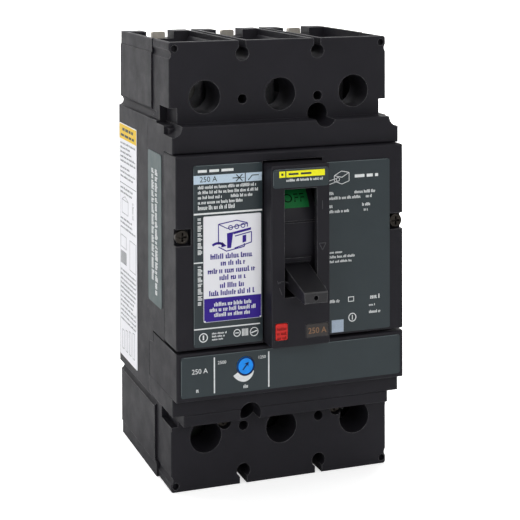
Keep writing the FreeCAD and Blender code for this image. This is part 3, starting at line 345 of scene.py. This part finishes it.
class Marks:
    """Collects convex outlines on one surface and makes them one thin closed piece."""

    def __init__(self, name, surface, thickness, finish, body=CASE):
        self.name, self.surface, self.thickness = name, surface, thickness
        self.finish, self.body = finish, body
        self.outlines = []

    def polygon(self, points):
        self.outlines.append(points)

    def bar(self, left, right, bottom, top):
        self.polygon([(left, bottom), (right, bottom), (right, top), (left, top)])

    def stroke(self, start, end, width):
        a, b = Vector(start), Vector(end)
        side = Vector((a.y - b.y, b.x - a.x)).normalized() * width / 2.0
        self.polygon([tuple(a + side), tuple(a - side), tuple(b - side), tuple(b + side)])

    def path(self, points, width):
        for start, end in zip(points, points[1:]):
            self.stroke(start, end, width)

    def arc_band(self, centre, radii, angles, count=24):
        """Band between two radii; each radius may be a function of the angle in degrees."""
        inner, outer = [r if callable(r) else (lambda angle, r=r: r) for r in radii]

        def at(radius, angle):
            turn, reach = math.radians(angle), radius(angle)
            return (centre[0] + reach * math.cos(turn), centre[1] + reach * math.sin(turn))

        steps = [angles[0] + (angles[1] - angles[0]) * i / count for i in range(count + 1)]
        for a, b in zip(steps, steps[1:]):
            self.polygon([at(inner, a), at(outer, a), at(outer, b), at(inner, b)])

    def ring(self, centre, radius, width):
        self.arc_band(centre, (radius - width, radius), (0.0, 360.0), 36)

    def filler_line(self, rng, left, right, z, height, pitch=0.52):
        """Row of upright ticks in word-long groups: it fills the place of a line of text."""
        low = height * LOW_TICK
        u = left
        while u < right - pitch:
            ticks = rng.randint(2, 8)
            for _ in range(ticks):
                if u > right - pitch:
                    break
                tall = height if rng.random() < TALL_SHARE else low
                self.bar(u, u + pitch * TICK_WIDTH, z, z + tall)
                if rng.random() < 0.45:
                    level = z + rng.choice((0.0, 0.62)) * low
                    self.bar(u, u + pitch, level, level + height * 0.16)
                u += pitch
            u += pitch * WORD_GAP

    def dashes(self, rng, left, right, bottom, top):
        """Row of plain word-long bars in place of large lettering."""
        shortest, gap = 1.2, 1.1
        u = left
        while u < right - shortest:
            end = min(right, u + rng.uniform(2.6, 5.6))
            self.bar(u, end, bottom, top)
            u = end + gap

    def outline(self, left, right, bottom, top, width):
        """Thin frame just inside a rectangle."""
        self.bar(left, right, bottom, bottom + width)
        self.bar(left, right, top - width, top)
        self.bar(left, left + width, bottom + width, top - width)
        self.bar(right - width, right, bottom + width, top - width)

    def filler_column(self, rng, x, bottom, top, width, pitch=0.52):
        """The same ticks in a column that runs up the label."""
        v = bottom
        while v < top - pitch:
            for _ in range(rng.randint(2, 7)):
                if v > top - pitch:
                    break
                reach = width if rng.random() < TALL_SHARE else width * LOW_TICK
                self.bar(x, x + reach, v, v + pitch * TICK_WIDTH)
                v += pitch
            v += pitch * WORD_GAP

    def build(self):
        vertices, faces = [], []
        for outline in self.outlines:
            count, first = len(outline), len(vertices)
            vertices += [self.surface(u, v, 0.0) for u, v in outline]
            vertices += [self.surface(u, v, self.thickness) for u, v in outline]
            faces.append([first + i for i in reversed(range(count))])
            faces.append([first + count + i for i in range(count)])
            for i in range(count):
                j = (i + 1) % count
                faces.append([first + i, first + j, first + count + j, first + count + i])
        mesh = bpy.data.meshes.new(self.name)
        mesh.from_pydata(vertices, [], faces)
        tidy_normals(mesh)
        return add_piece(self.name, mesh, self.finish, self.body)


def tidy_normals(mesh):
    work = bmesh.new()
    work.from_mesh(mesh)
    bmesh.ops.recalc_face_normals(work, faces=work.faces)
    work.to_mesh(mesh)
    work.free()
    mesh.update()


def add_piece(name, mesh, finish, body):
    obj = bpy.data.objects.new(name, mesh)
    bpy.context.scene.collection.objects.link(obj)
    obj.data.materials.append(FINISHES[finish])
    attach(obj, body)
    return obj


def lettering(name, text, centre, height, surface, finish, body=CASE, thickness=0.06, widen=1.0):
    """Solid generic characters, centred on a point of a surface; height in millimetres."""
    curve = bpy.data.curves.new(name, "FONT")
    curve.body = text
    curve.align_x, curve.align_y = "CENTER", "CENTER"
    curve.size = height * FONT_SIZE_PER_HEIGHT
    curve.extrude = thickness / 2.0
    curve.resolution_u = 3
    source = bpy.data.objects.new(name + "_source", curve)
    bpy.context.scene.collection.objects.link(source)
    mesh = bpy.data.meshes.new_from_object(source)
    bpy.data.objects.remove(source)
    for vertex in mesh.vertices:
        u, v, h = vertex.co
        vertex.co = surface(centre[0] + u * widen, centre[1] + v, h + thickness / 2.0)
    mesh.name = name
    work = bmesh.new()
    work.from_mesh(mesh)
    bmesh.ops.remove_doubles(work, verts=work.verts, dist=1e-7)
    bmesh.ops.recalc_face_normals(work, faces=work.faces)
    work.to_mesh(mesh)
    work.free()
    mesh.materials.clear()
    return add_piece(name, mesh, finish, body)


# ---- what is printed on each label --------------------------------------------------------
def paint_label_edge_highlight(name, edge):
    """Pale line painted just inside a label's top and left edges, clear of its rounded corners: a painted
    highlight where these edges catch the light.
    """
    inset, width, corner, thickness = 0.12, 0.14, 1.3, 0.02
    rim = Marks(name, on_front(edge.front), thickness, "painted_edge_highlight")
    rim.bar(edge.left + corner, edge.right - corner, edge.top - inset - width, edge.top - inset)
    rim.bar(edge.left + inset, edge.left + inset + width, edge.bottom + corner, edge.top - corner)
    rim.build()


def print_left_label():
    edge = Edges("front_label_left")
    surface = on_front(edge.front)
    rng = random.Random(11)
    stripe_low, stripe_high = edge.top - 7.8, edge.top - 4.2
    stripe = Marks("left_label_stripe", surface, INK, "ink_pale_blue")
    stripe.bar(edge.left + 0.1, edge.right - 0.2, stripe_low, stripe_high)
    stripe.build()

    symbols = Marks("left_label_symbols", on_front(edge.front + INK), INK, "ink_slate")
    middle = (stripe_low + stripe_high) / 2.0
    cross = edge.left + 20.4
    symbols.stroke((cross - 3.0, middle), (cross, middle), 0.42)
    symbols.stroke((cross, middle), (cross + 2.3, middle), 0.22)
    symbols.stroke((cross - 1.4, middle - 1.4), (cross + 1.4, middle + 1.4), 0.42)
    symbols.stroke((cross - 1.4, middle + 1.4), (cross + 1.4, middle - 1.4), 0.42)
    symbols.bar(edge.left + 22.9, edge.left + 23.3, stripe_low, stripe_high)
    foot, level = edge.left + 24.4, middle + 0.7
    symbols.path([(foot, level - 2.0), (foot + 1.8, level), (foot + 4.8, level)], 0.38)
    symbols.build()
    over_stripe = on_front(edge.front + INK)
    lettering("left_label_rating", "250 A", (edge.left + 6.6, middle), 2.3, over_stripe, "ink_slate")

    ink = Marks("left_label_lines", surface, INK, "ink_white")
    ink.dashes(rng, edge.left + 2.0, edge.left + 18.6, edge.top - 3.0, edge.top - 1.9)
    paint_label_edge_highlight("left_label_edge", edge)
    # Rows of words: where each starts and ends from the left edge, and its height above the top.
    rows = [(2.0, 28.4, -9.8), (2.0, 29.4, -11.9), (2.0, 13.0, -14.0), (16.6, 26.6, -14.0),
            (2.0, 22.8, -16.1)]
    for start, end, rise in rows:
        ink.filler_line(rng, edge.left + start, edge.left + end, edge.top + rise, 1.35)
    ink.filler_line(rng, edge.left + 2.0, edge.left + 18.6, edge.top - 18.5, 1.8, 0.6)
    ink.bar(edge.left + 0.1, edge.right - 0.1, edge.top - 20.5, edge.top - 19.8)
    ink.filler_column(rng, edge.left + 1.8, edge.top - 37.0, edge.top - 21.2, 2.0)
    ink.bar(edge.left + 0.1, edge.left + 4.1, edge.top - 40.6, edge.top - 40.1)
    ink.filler_column(rng, edge.left + 1.8, edge.top - 58.0, edge.top - 41.6, 2.0)
    ink.bar(edge.left + 0.1, edge.right - 1.2, edge.top - 68.2, edge.top - 67.7)
    low = edge.top - 71.6
    ink.ring((edge.left + 4.2, low), 1.95, 0.4)
    ink.bar(edge.left + 3.9, edge.left + 4.5, low - 1.0, low + 1.0)
    for row in range(3):
        ink.filler_line(rng, edge.left + 8.0, edge.left + 15.0 - row, low + 1.0 - row * 1.25, 0.8, 0.42)
    ink.ring((edge.left + 19.2, low + 0.6), 1.6, 0.35)
    ink.stroke((edge.left + 18.4, low + 0.6), (edge.left + 20.0, low + 0.6), 0.4)
    for tick in range(5):
        ink.bar(edge.left + 21.4 + tick * 0.6, edge.left + 21.75 + tick * 0.6, low - 0.9, low + 2.1)
    ink.ring((edge.left + 26.9, low + 0.4), 1.9, 0.3)
    ink.stroke((edge.left + 25.6, low), (edge.left + 28.2, low + 0.8), 0.5)
    ink.build()


def print_accessory_sticker():
    edge = Edges("accessory_sticker")
    surface = on_front(edge.front)
    rng = random.Random(23)
    foot_top = edge.bottom + 9.8
    foot = Marks("sticker_purple_field", surface, INK, "ink_purple")
    foot.bar(edge.left + 0.15, edge.right - 0.15, edge.bottom + 0.7, foot_top)
    foot.bar(edge.left + 0.8, edge.right - 0.8, edge.bottom + 0.15, edge.bottom + 0.7)
    foot.build()

    reversed_text = Marks("sticker_white_lines", on_front(edge.front + INK), INK, "ink_white")
    for start, end, up in ((4.6, 21.4, 6.4), (2.6, 23.4, 4.2), (4.6, 21.8, 2.0)):
        reversed_text.filler_line(rng, edge.left + start, edge.left + end, edge.bottom + up, 1.7, 0.68)
    reversed_text.build()

    ink = Marks("sticker_purple_lines", surface, INK, "ink_purple")
    for start, end, up in ((3.0, 22.0, 26.0), (7.6, 18.6, 23.1), (1.8, 23.4, 20.0), (7.0, 19.4, 17.1),
                           (7.2, 18.4, 13.8), (2.4, 23.4, 10.8)):
        ink.filler_line(rng, edge.left + start, edge.left + end, edge.bottom + up, 2.2, 0.86)
    # A plain box, a smaller box set into it and an arrow: a generic "fit the module" drawing.
    left, top = edge.left + 6.6, edge.top - 2.4

    def drawn(*corners):
        """Corners given across from the box's left edge and down from its top."""
        return [(left + across, top - down) for across, down in corners]

    ink.path(drawn((0.0, 1.2), (8.2, 0.0), (13.0, 1.4), (13.0, 3.0)), 0.42)
    ink.path(drawn((0.0, 1.2), (0.0, 9.6)), 0.42)
    ink.path(drawn((0.0, 10.6), (3.6, 12.6), (11.6, 11.2), (11.6, 9.9)), 0.42)
    ink.path(drawn((0.0, 1.2), (4.0, 3.2), (13.0, 1.6)), 0.36)
    for hole in range(3):
        ink.ring((left + 5.4 + hole * 2.8, top - 2.9 + hole * 0.25), 1.05, 0.36)
    ink.polygon(drawn((3.8, 5.2), (6.6, 4.8), (5.6, 11.4), (3.9, 11.4)))
    ink.polygon(drawn((6.6, 4.8), (14.6, 3.4), (14.6, 4.4), (6.6, 5.8)))
    ink.path(drawn((7.4, 6.6), (14.8, 5.2), (14.8, 9.6), (7.2, 11.6)), 0.42)
    ink.polygon(drawn((10.8, 6.6), (12.4, 6.3), (12.4, 9.2), (10.8, 9.6)))
    ink.arc_band((left - 0.2, top - 13.0), (3.5, 4.5), (55.0, 128.0), 10)
    ink.polygon(drawn((1.6, 8.6), (3.6, 10.4), (1.2, 10.9)))
    ink.build()


def print_right_label():
    edge = Edges("front_label_right")
    surface = on_front(edge.front)
    rng = random.Random(37)
    paint_label_edge_highlight("right_label_edge", edge)
    ink = Marks("right_label_lines", surface, INK, "ink_white")
    top, right, left = edge.top, edge.right, edge.left
    ink.dashes(rng, right - 16.8, right - 5.6, top - 7.4, top - 6.1)
    # A plain lug with a wire end, in outline.
    x, z = left + 5.2, top - 6.0
    lug = [(0.0, 0.0), (3.4, 1.8), (7.0, 1.0), (7.0, -2.6), (3.6, -3.8), (0.0, -2.4), (0.0, 0.0),
           (3.6, -0.9), (7.0, 1.0)]
    ink.path([(x + across, z + up) for across, up in lug], 0.28)
    ink.ring((x + 1.7, z - 1.7), 0.9, 0.25)
    ink.path([(x - 3.6, z - 2.4), (x + 1.2, z - 1.2)], 0.26)
    ink.path([(x - 3.2, z - 3.9), (x + 1.9, z - 2.4)], 0.26)
    rows = [(14.8, 25.0, -14.2, 1.3), (1.4, 5.6, -14.2, 1.3), (1.4, 18.0, -16.3, 1.3),
            (20.2, 23.4, -16.3, 1.3), (18.4, 22.4, -19.8, 1.3), (1.4, 4.4, -19.8, 1.2),
            (1.4, 12.8, -22.0, 1.3), (19.2, 21.6, -22.0, 1.3), (2.0, 9.0, -39.4, 1.0),
            (2.0, 15.0, -41.4, 1.1), (2.0, 13.6, -43.4, 1.0), (1.6, 7.6, -60.6, 1.3),
            (22.2, 27.6, -60.4, 1.9), (21.6, 27.4, -66.6, 1.3), (21.6, 25.0, -63.4, 0.9)]
    for start, end, rise, height in rows:
        pitch = 0.5 if height < 1.8 else 0.8
        ink.filler_line(rng, left + start, left + end, top + rise, height, pitch)
    ink.ring((left + 0.9, top - 39.0), 0.7, 0.25)
    ink.outline(left + 11.6, left + 14.4, top - 60.8, top - 58.6, 0.3)
    ink.ring((left + 13.6, top - 67.6), 1.9, 0.4)
    ink.bar(left + 13.4, left + 13.8, top - 68.6, top - 66.6)
    ink.build()
    square = Marks("right_label_square", surface, INK, "ink_square_blue")
    square.bar(left + 3.8, left + 9.4, edge.bottom + 0.2, edge.bottom + 5.5)
    square.build()


def print_nose_label():
    edge = Edges("nose_label")
    rng = random.Random(5)
    paint_label_edge_highlight("nose_label_edge", edge)
    strip = Marks("nose_label_yellow", on_front(edge.front), INK, "ink_yellow")
    strip.bar(edge.left + 2.8, edge.left + 5.5, edge.top - 3.5, edge.top - 0.9)
    strip.bar(edge.left + 6.0, edge.right - 1.8, edge.top - 3.5, edge.top - 0.9)
    strip.build()
    dark = Marks("nose_label_dark", on_front(edge.front + INK), INK, "ink_slate")
    dark.dashes(rng, edge.left + 7.0, edge.left + 17.4, edge.top - 2.6, edge.top - 1.8)
    dark.bar(edge.left + 3.7, edge.left + 4.6, edge.top - 2.65, edge.top - 1.75)
    dark.build()
    white = Marks("nose_label_white", on_front(edge.front), INK, "ink_white")
    white.filler_line(rng, edge.left + 6.0, edge.right - 2.6, edge.top - 5.3, 1.1, 0.5)
    white.build()


def print_trip_label():
    edge = Edges("trip_label")
    dial = Edges("adjust_dial")
    surface = on_front(edge.front)
    centre = (dial.middle_x, dial.middle_z)
    paint_label_edge_highlight("trip_label_edge", edge)
    ink = Marks("trip_label_lines", surface, INK, "ink_white")
    for x in (centre[0] - 14.0, centre[0] + 10.5):
        ink.bar(x - 0.28, x + 0.28, edge.bottom + 0.9, edge.top - 1.1)
    rng = random.Random(3)
    ink.filler_line(rng, edge.left + 6.6, edge.left + 8.4, edge.bottom + 2.0, 1.7, 0.6)
    ink.filler_line(rng, centre[0] - 1.0, centre[0] + 1.4, edge.bottom + 1.6, 1.5, 0.55)

    def scale_edge(angle):
        """The white adjustment scale narrows as the setting falls, clockwise round the dial's foot."""
        return 6.6 - 2.3 * max(0.0, (angle - 262.0) / 66.0) ** 1.3

    ink.arc_band(centre, (4.15, scale_edge), (213.0, 328.0), 28)
    ink.build()
    words = [("trip_label_rating", "250 A", (edge.left + 8.2, edge.top - 6.4), 2.1),
             ("dial_scale_high", "2500", (centre[0] - 10.6, edge.top - 3.6), 1.4),
             ("dial_scale_low", "1250", (centre[0] + 7.4, edge.top - 3.2), 1.3)]
    for name, text, place, height in words:
        lettering(name, text, place, height, surface, "ink_white")


def mark_dial():
    """Dark rim and arrow on the dial, turning with it; the arrow points at the upper right at rest."""
    dial = Edges("adjust_dial")
    centre = Vector((dial.middle_x, dial.middle_z))
    radius = (dial.right - dial.left) / 2.0
    surface = on_front(dial.front)
    rim = Marks("dial_rim", surface, 0.12, "ink_navy", "adjust_dial")
    rim.ring(tuple(centre), radius - 0.02, 0.5)
    rim.build()
    arrow = Marks("dial_arrow", surface, INK, "ink_navy", "adjust_dial")
    along = Vector((0.64, 0.77)).normalized()
    side = Vector((-along.y, along.x))
    tip = centre + along * 2.2
    arrow.stroke(tuple(centre - along * 2.0), tuple(centre + along * 1.2), 0.55)
    arrow.polygon([tuple(tip), tuple(centre + along * 0.4 + side * 1.1), tuple(centre + along * 0.9),
                   tuple(centre + along * 0.4 - side * 1.1)])
    arrow.build()


def print_side_sticker():
    """Amber header, then blocks of rows, two plain outline drawings and a shaded box."""
    edge = Edges("side_sticker")
    surface = on_left_side(edge.left)
    head = Marks("side_sticker_header", surface, INK, "ink_amber")
    head.bar(edge.back + 0.2, edge.front - 0.2, edge.top - 7.2, edge.top - 0.4)
    head.build()
    rng = random.Random(71)
    on_head = Marks("side_sticker_header_bars", on_left_side(edge.left - INK), INK, "ink_slate")
    on_head.dashes(rng, edge.back + 5.0, edge.front - 5.0, edge.top - 3.2, edge.top - 1.9)
    on_head.dashes(rng, edge.back + 2.4, edge.front - 2.4, edge.top - 5.9, edge.top - 4.8)
    on_head.build()

    ink = Marks("side_sticker_lines", surface, 0.03, "ink_grey")
    left, right, top = edge.back + 1.6, edge.front - 1.6, edge.top

    def rows(start, count, gap=2.1):
        for row in range(count):
            end = right - (0.0 if rng.random() < 0.6 else rng.uniform(2.0, 11.0))
            ink.filler_line(rng, left, end, top - start - row * gap, 0.95, 0.6)

    rows(9.6, 5)
    rows(21.0, 3)
    ink.bar(edge.back + 0.4, edge.front - 0.4, top - 28.2, top - 27.9)
    rows(30.6, 2)
    ink.outline(left + 2.0, left + 12.0, top - 42.0, top - 35.6, 0.22)
    ink.stroke((left + 2.0, top - 35.6), (left + 7.0, top - 33.8), 0.22)
    ink.stroke((left + 7.0, top - 33.8), (left + 12.0, top - 35.6), 0.22)
    ink.filler_column(rng, right - 4.6, top - 42.0, top - 34.0, 1.4)
    rows(45.0, 3)
    ink.outline(left, left + 9.0, top - 58.4, top - 52.6, 0.22)
    ink.outline(left + 14.0, right, top - 66.4, top - 52.6, 0.22)
    for bar in range(8):
        ink.bar(left, left + 9.0, top - 65.8 + bar * 0.75, top - 65.3 + bar * 0.75)
    rows(69.4, 12)
    for column in range(4):
        foot = left + 2.0 + column * 5.4
        ink.outline(foot, foot + 3.0, top - 106.0, top - 97.0 + column, 0.25)
    ink.build()


def print_side_label():
    """Two long columns of small rows that run up the label."""
    edge = Edges("side_label")
    ink = Marks("side_label_lines", on_left_side(edge.left), INK, "ink_white")
    rng = random.Random(90)
    middle = (edge.back + edge.front) / 2.0
    ink.filler_column(rng, middle + 0.6, edge.bottom + 4.5, edge.top - 7.0, 3.4, 0.66)
    ink.filler_column(rng, middle - 4.2, edge.bottom + 10.0, edge.top - 7.0, 3.4, 0.66)
    ink.build()


# ---- nose: raised marks, rating, flag and button ------------------------------------------
def mark_nose():
    """Raised marks in the two columns beside the handle slot, at heights from the handle's pivot, painted paler
    than the plastic as a highlight.
    """
    label = Edges("nose_label")
    handle = Edges("toggle_handle")
    pivot_z = JOINTS["toggle_swing"]["pos_m"][2] / MM
    column = (handle.right + label.right) / 2.0 + 0.6
    # The marks are coloured paler than the plastic: a painted highlight on their relief.
    marks = Marks("nose_raised_marks", on_front(label.back), 0.12, "relief_painted_highlight")

    # Right column: a bar for "on", a small open triangle and a ring for "off".
    bar_foot, bar_head = pivot_z + 14.4, pivot_z + 18.0
    marks.bar(column - 0.15, column + 0.15, bar_foot, bar_head)
    half, tip = 1.6, (column, pivot_z - 2.8)
    marks.path([tip, (column - half, pivot_z + 0.1), (column + half, pivot_z + 0.1), tip], 0.30)
    marks.ring((column, pivot_z - 19.0), 1.5, 0.32)

    # Left column: a lever, the arc that it swings through and an arrow tip at the arc's end.
    foot = (-column + 1.2, pivot_z - 20.2)
    marks.stroke((foot[0] - 1.2, foot[1] + 3.0), foot, 0.26)
    marks.arc_band(foot, (5.4, 5.66), (52.0, 108.0), 14)
    arrow = [(-2.0, 6.0), (-1.7, 4.8), (-0.5, 5.2)]
    marks.path([(foot[0] + across, foot[1] + up) for across, up in arrow], 0.26)
    marks.build()


def print_rating():
    edge = Edges("rating_insert")
    middle = (edge.middle_x, edge.middle_z - 0.2)
    lettering("rating_value", "250 A", middle, 2.5, on_front(edge.front), "ink_tan")


def mark_button():
    edge = Edges("trip_button")
    middle = Edges("trip_button_spring").middle_x
    half = 2.95  # half the width of the face that shows in the nose
    ribs = Marks("trip_button_ribs", on_front(edge.front), 0.1, "ink_dark_red", "trip_button")
    rng = random.Random(8)
    low = edge.bottom + 1.2
    for row in range(3):
        ribs.filler_line(rng, middle - half + 0.7, middle + half - 0.6, low + row * 1.9, 1.2, 0.62)
    ribs.build()


def print_flag():
    """Position word wrapped round the handle pivot, on the face of the flag."""
    joint = JOINTS["toggle_swing"]
    pivot = Vector(joint["pos_m"]) / MM
    flag = Edges("position_flag")
    radius = math.hypot(flag.front + pivot.y, flag.bottom - pivot.z)

    def place(u, v, h):
        angle = v / radius
        reach = radius + h
        return point(u, -pivot.y + reach * math.cos(angle), pivot.z + reach * math.sin(angle))

    low = math.asin((flag.bottom - pivot.z) / radius)
    high = math.asin(min(1.0, (flag.top - pivot.z) / radius))
    middle = radius * (low + high) / 2.0
    lettering("flag_word", "OFF", (0.7, middle), 3.9, place, "ink_dark_green", "toggle", 0.05, 1.08)


# ---- softened edges -----------------------------------------------------------------------
def soften(node, width):
    """Rounds the moulded edges of one piece."""
    obj = NODES[node]
    weld = obj.modifiers.new("weld", "WELD")
    weld.merge_threshold = 0.02 * MM
    bevel = obj.modifiers.new("round", "BEVEL")
    bevel.width = width * MM
    bevel.segments = 3
    bevel.limit_method = "ANGLE"
    bevel.angle_limit = math.radians(28.0)
    bevel.use_clamp_overlap = True


# ---- trip button spring -------------------------------------------------------------------
def coil_mesh(name, centre, start, end, radius, wire, turns):
    """Closed coil along the depth, with flattened ends."""
    around, per_turn = 8, 28
    count = int(turns * per_turn)
    vertices, faces = [], []
    for i in range(count + 1):
        share = i / count
        angle = 2.0 * math.pi * turns * share
        eased = min(1.0, max(0.0, (share - 0.07) / 0.86))
        depth = start + (end - start) * eased
        outward = Vector((math.cos(angle), 0.0, math.sin(angle)))
        ring_centre = Vector((centre[0], depth, centre[1])) + outward * radius
        for j in range(around):
            turn = 2.0 * math.pi * j / around
            offset = outward * (wire * math.cos(turn)) + Vector((0.0, wire * math.sin(turn), 0.0))
            spot = ring_centre + offset
            vertices.append(point(spot.x, spot.y, spot.z))
    for i in range(count):
        for j in range(around):
            k = (j + 1) % around
            faces.append([i * around + j, i * around + k, (i + 1) * around + k, (i + 1) * around + j])
    faces.append(list(range(around)))
    faces.append([count * around + j for j in reversed(range(around))])
    mesh = bpy.data.meshes.new(name)
    mesh.from_pydata(vertices, [], faces)
    tidy_normals(mesh)
    return mesh


def trip_button_spring():
    """Return spring behind the button: a coil that stands in for the frame's spring piece."""
    edge = Edges("trip_button_spring")
    radius = (edge.right - edge.left) / 2.0 - 0.3
    start, end = edge.back + 0.35, edge.front - 0.35
    mesh = coil_mesh("trip_return_coil", (edge.middle_x, edge.middle_z), start, end, radius, 0.3, 6.5)
    piece = add_piece("trip_return_coil", mesh, "spring_steel", CASE)
    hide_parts("trip_button_spring")
    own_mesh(piece)


# ---- stage, light and camera --------------------------------------------------------------
def make_stage():
    """Pale floor that curves up into a backdrop."""
    floor_z = CAD_BOUNDS[0].z
    half, front, back, rise, bend = 8.0, -9.0, 2.2, 3.5, 1.2
    profile = [(front, 0.0)]
    for i in range(13):
        turn = math.radians(90.0 * i / 12)
        profile.append((back - bend + bend * math.sin(turn), bend - bend * math.cos(turn)))
    profile.append((back, rise))
    vertices = []
    for y, z in profile:
        vertices += [(-half, y, floor_z + z), (half, y, floor_z + z)]
    faces = [[2 * i, 2 * i + 1, 2 * i + 3, 2 * i + 2] for i in range(len(profile) - 1)]
    mesh = bpy.data.meshes.new("studio_floor")
    mesh.from_pydata(vertices, [], faces)
    for face in mesh.polygons:
        face.use_smooth = True
    floor = bpy.data.objects.new("studio_floor", mesh)
    bpy.context.scene.collection.objects.link(floor)
    f = Finish("studio_paper")
    tone = f.mixed(f.spread(f.noise(300.0), 0.0, 1.0), (0.93, 0.93, 0.93), (0.95, 0.95, 0.95))
    rough = f.spread(f.noise(40.0), 0.85, 0.95)
    mesh.materials.append(f.finish(tone, rough, f.bump(f.noise(3.0), 0.1, 0.05)))
    # The paper looks brighter to the camera than the light that it sends back to the piece.
    glow = 0.55
    seen = f.tree.nodes.new("ShaderNodeLightPath").outputs["Is Camera Ray"]
    f.surface.inputs["Emission Color"].default_value = (1.0, 1.0, 1.0, 1.0)
    f.link(f.product(seen, glow), f.surface.inputs["Emission Strength"])


def area_light(name, position, target, size, power):
    light = bpy.data.lights.new(name, "AREA")
    light.shape = "RECTANGLE"
    light.size, light.size_y = size
    light.energy = power
    lamp = bpy.data.objects.new(name, light)
    bpy.context.scene.collection.objects.link(lamp)
    lamp.location = position
    lamp.rotation_euler = (Vector(target) - Vector(position)).to_track_quat("-Z", "Y").to_euler()


def make_light():
    """Soft studio light. The surroundings look white to the camera but light the piece only a little."""
    world = bpy.data.worlds.new("studio")
    bpy.context.scene.world = world
    world.use_nodes = True
    tree = world.node_tree
    background = tree.nodes["Background"]
    background.inputs["Color"].default_value = (1.0, 1.0, 1.0, 1.0)
    seen = tree.nodes.new("ShaderNodeLightPath").outputs["Is Camera Ray"]
    strength = tree.nodes.new("ShaderNodeMapRange")
    strength.inputs["To Min"].default_value = 0.24
    strength.inputs["To Max"].default_value = 1.0
    tree.links.new(seen, strength.inputs["Value"])
    tree.links.new(strength.outputs["Result"], background.inputs["Strength"])
    piece = (0.0, 0.0, 0.0)
    backdrop = (0.0, 2.0, 0.3)
    area_light("key_left", (-1.1, -0.45, 0.55), piece, (0.9, 1.1), 5.2)
    area_light("front_fill", (0.35, -1.6, 0.9), piece, (1.4, 0.8), 11.0)
    area_light("top_soft", (0.1, 0.2, 1.5), piece, (1.2, 1.2), 8.0)
    area_light("backdrop_wash", (0.0, 0.9, 1.6), backdrop, (2.5, 1.0), 45.0)


def shifted_axis(camera, channel, value, home):
    """Lens shift that holds only while the camera stands within half a millimetre of its home."""
    curve = camera.data.driver_add(channel)
    driver = curve.driver
    driver.type = "SCRIPTED"
    variable = driver.variables.new()
    variable.name = "x"
    variable.type = "TRANSFORMS"
    variable.targets[0].id = camera
    variable.targets[0].transform_type = "LOC_X"
    variable.targets[0].transform_space = "WORLD_SPACE"
    driver.expression = f"{value} if abs(x - ({home})) < 0.0005 else 0"


def make_camera():
    """Three-quarter view from the left with a shifted lens, which keeps the case's uprights upright."""
    data = bpy.data.cameras.new("camera")
    camera = bpy.data.objects.new("camera", data)
    bpy.context.scene.collection.objects.link(camera)
    azimuth, elevation, roll = math.radians(-16.926), math.radians(0.623), math.radians(-0.243)
    forward = Vector((-math.sin(azimuth) * math.cos(elevation), math.cos(azimuth) * math.cos(elevation),
                      -math.sin(elevation)))
    level = Vector((math.cos(azimuth), math.sin(azimuth), 0.0))
    right = level * math.cos(roll) + level.cross(forward) * math.sin(roll)
    turn = Matrix((right, right.cross(forward), -forward)).transposed()
    camera.location = (-0.2175, -0.55274, 0.13972)
    camera.rotation_euler = turn.to_euler()
    data.sensor_width = 36.0
    data.lens = 84.238
    data.clip_start = 0.01
    shift_right, shift_down = 0.25987, 0.59454
    shifted_axis(camera, "shift_x", shift_right, camera.location.x)
    shifted_axis(camera, "shift_y", -shift_down, camera.location.x)
    bpy.context.scene.camera = camera
    bpy.context.scene.view_settings.view_transform = "Standard"


# ---- build --------------------------------------------------------------------------------
dress_cad_nodes()
print_left_label()
print_accessory_sticker()
print_right_label()
print_nose_label()
print_trip_label()
mark_dial()
print_side_sticker()
print_side_label()
mark_nose()
print_rating()
mark_button()
print_flag()
trip_button_spring()
soften("toggle_handle", 0.7)
make_stage()
make_light()
make_camera()
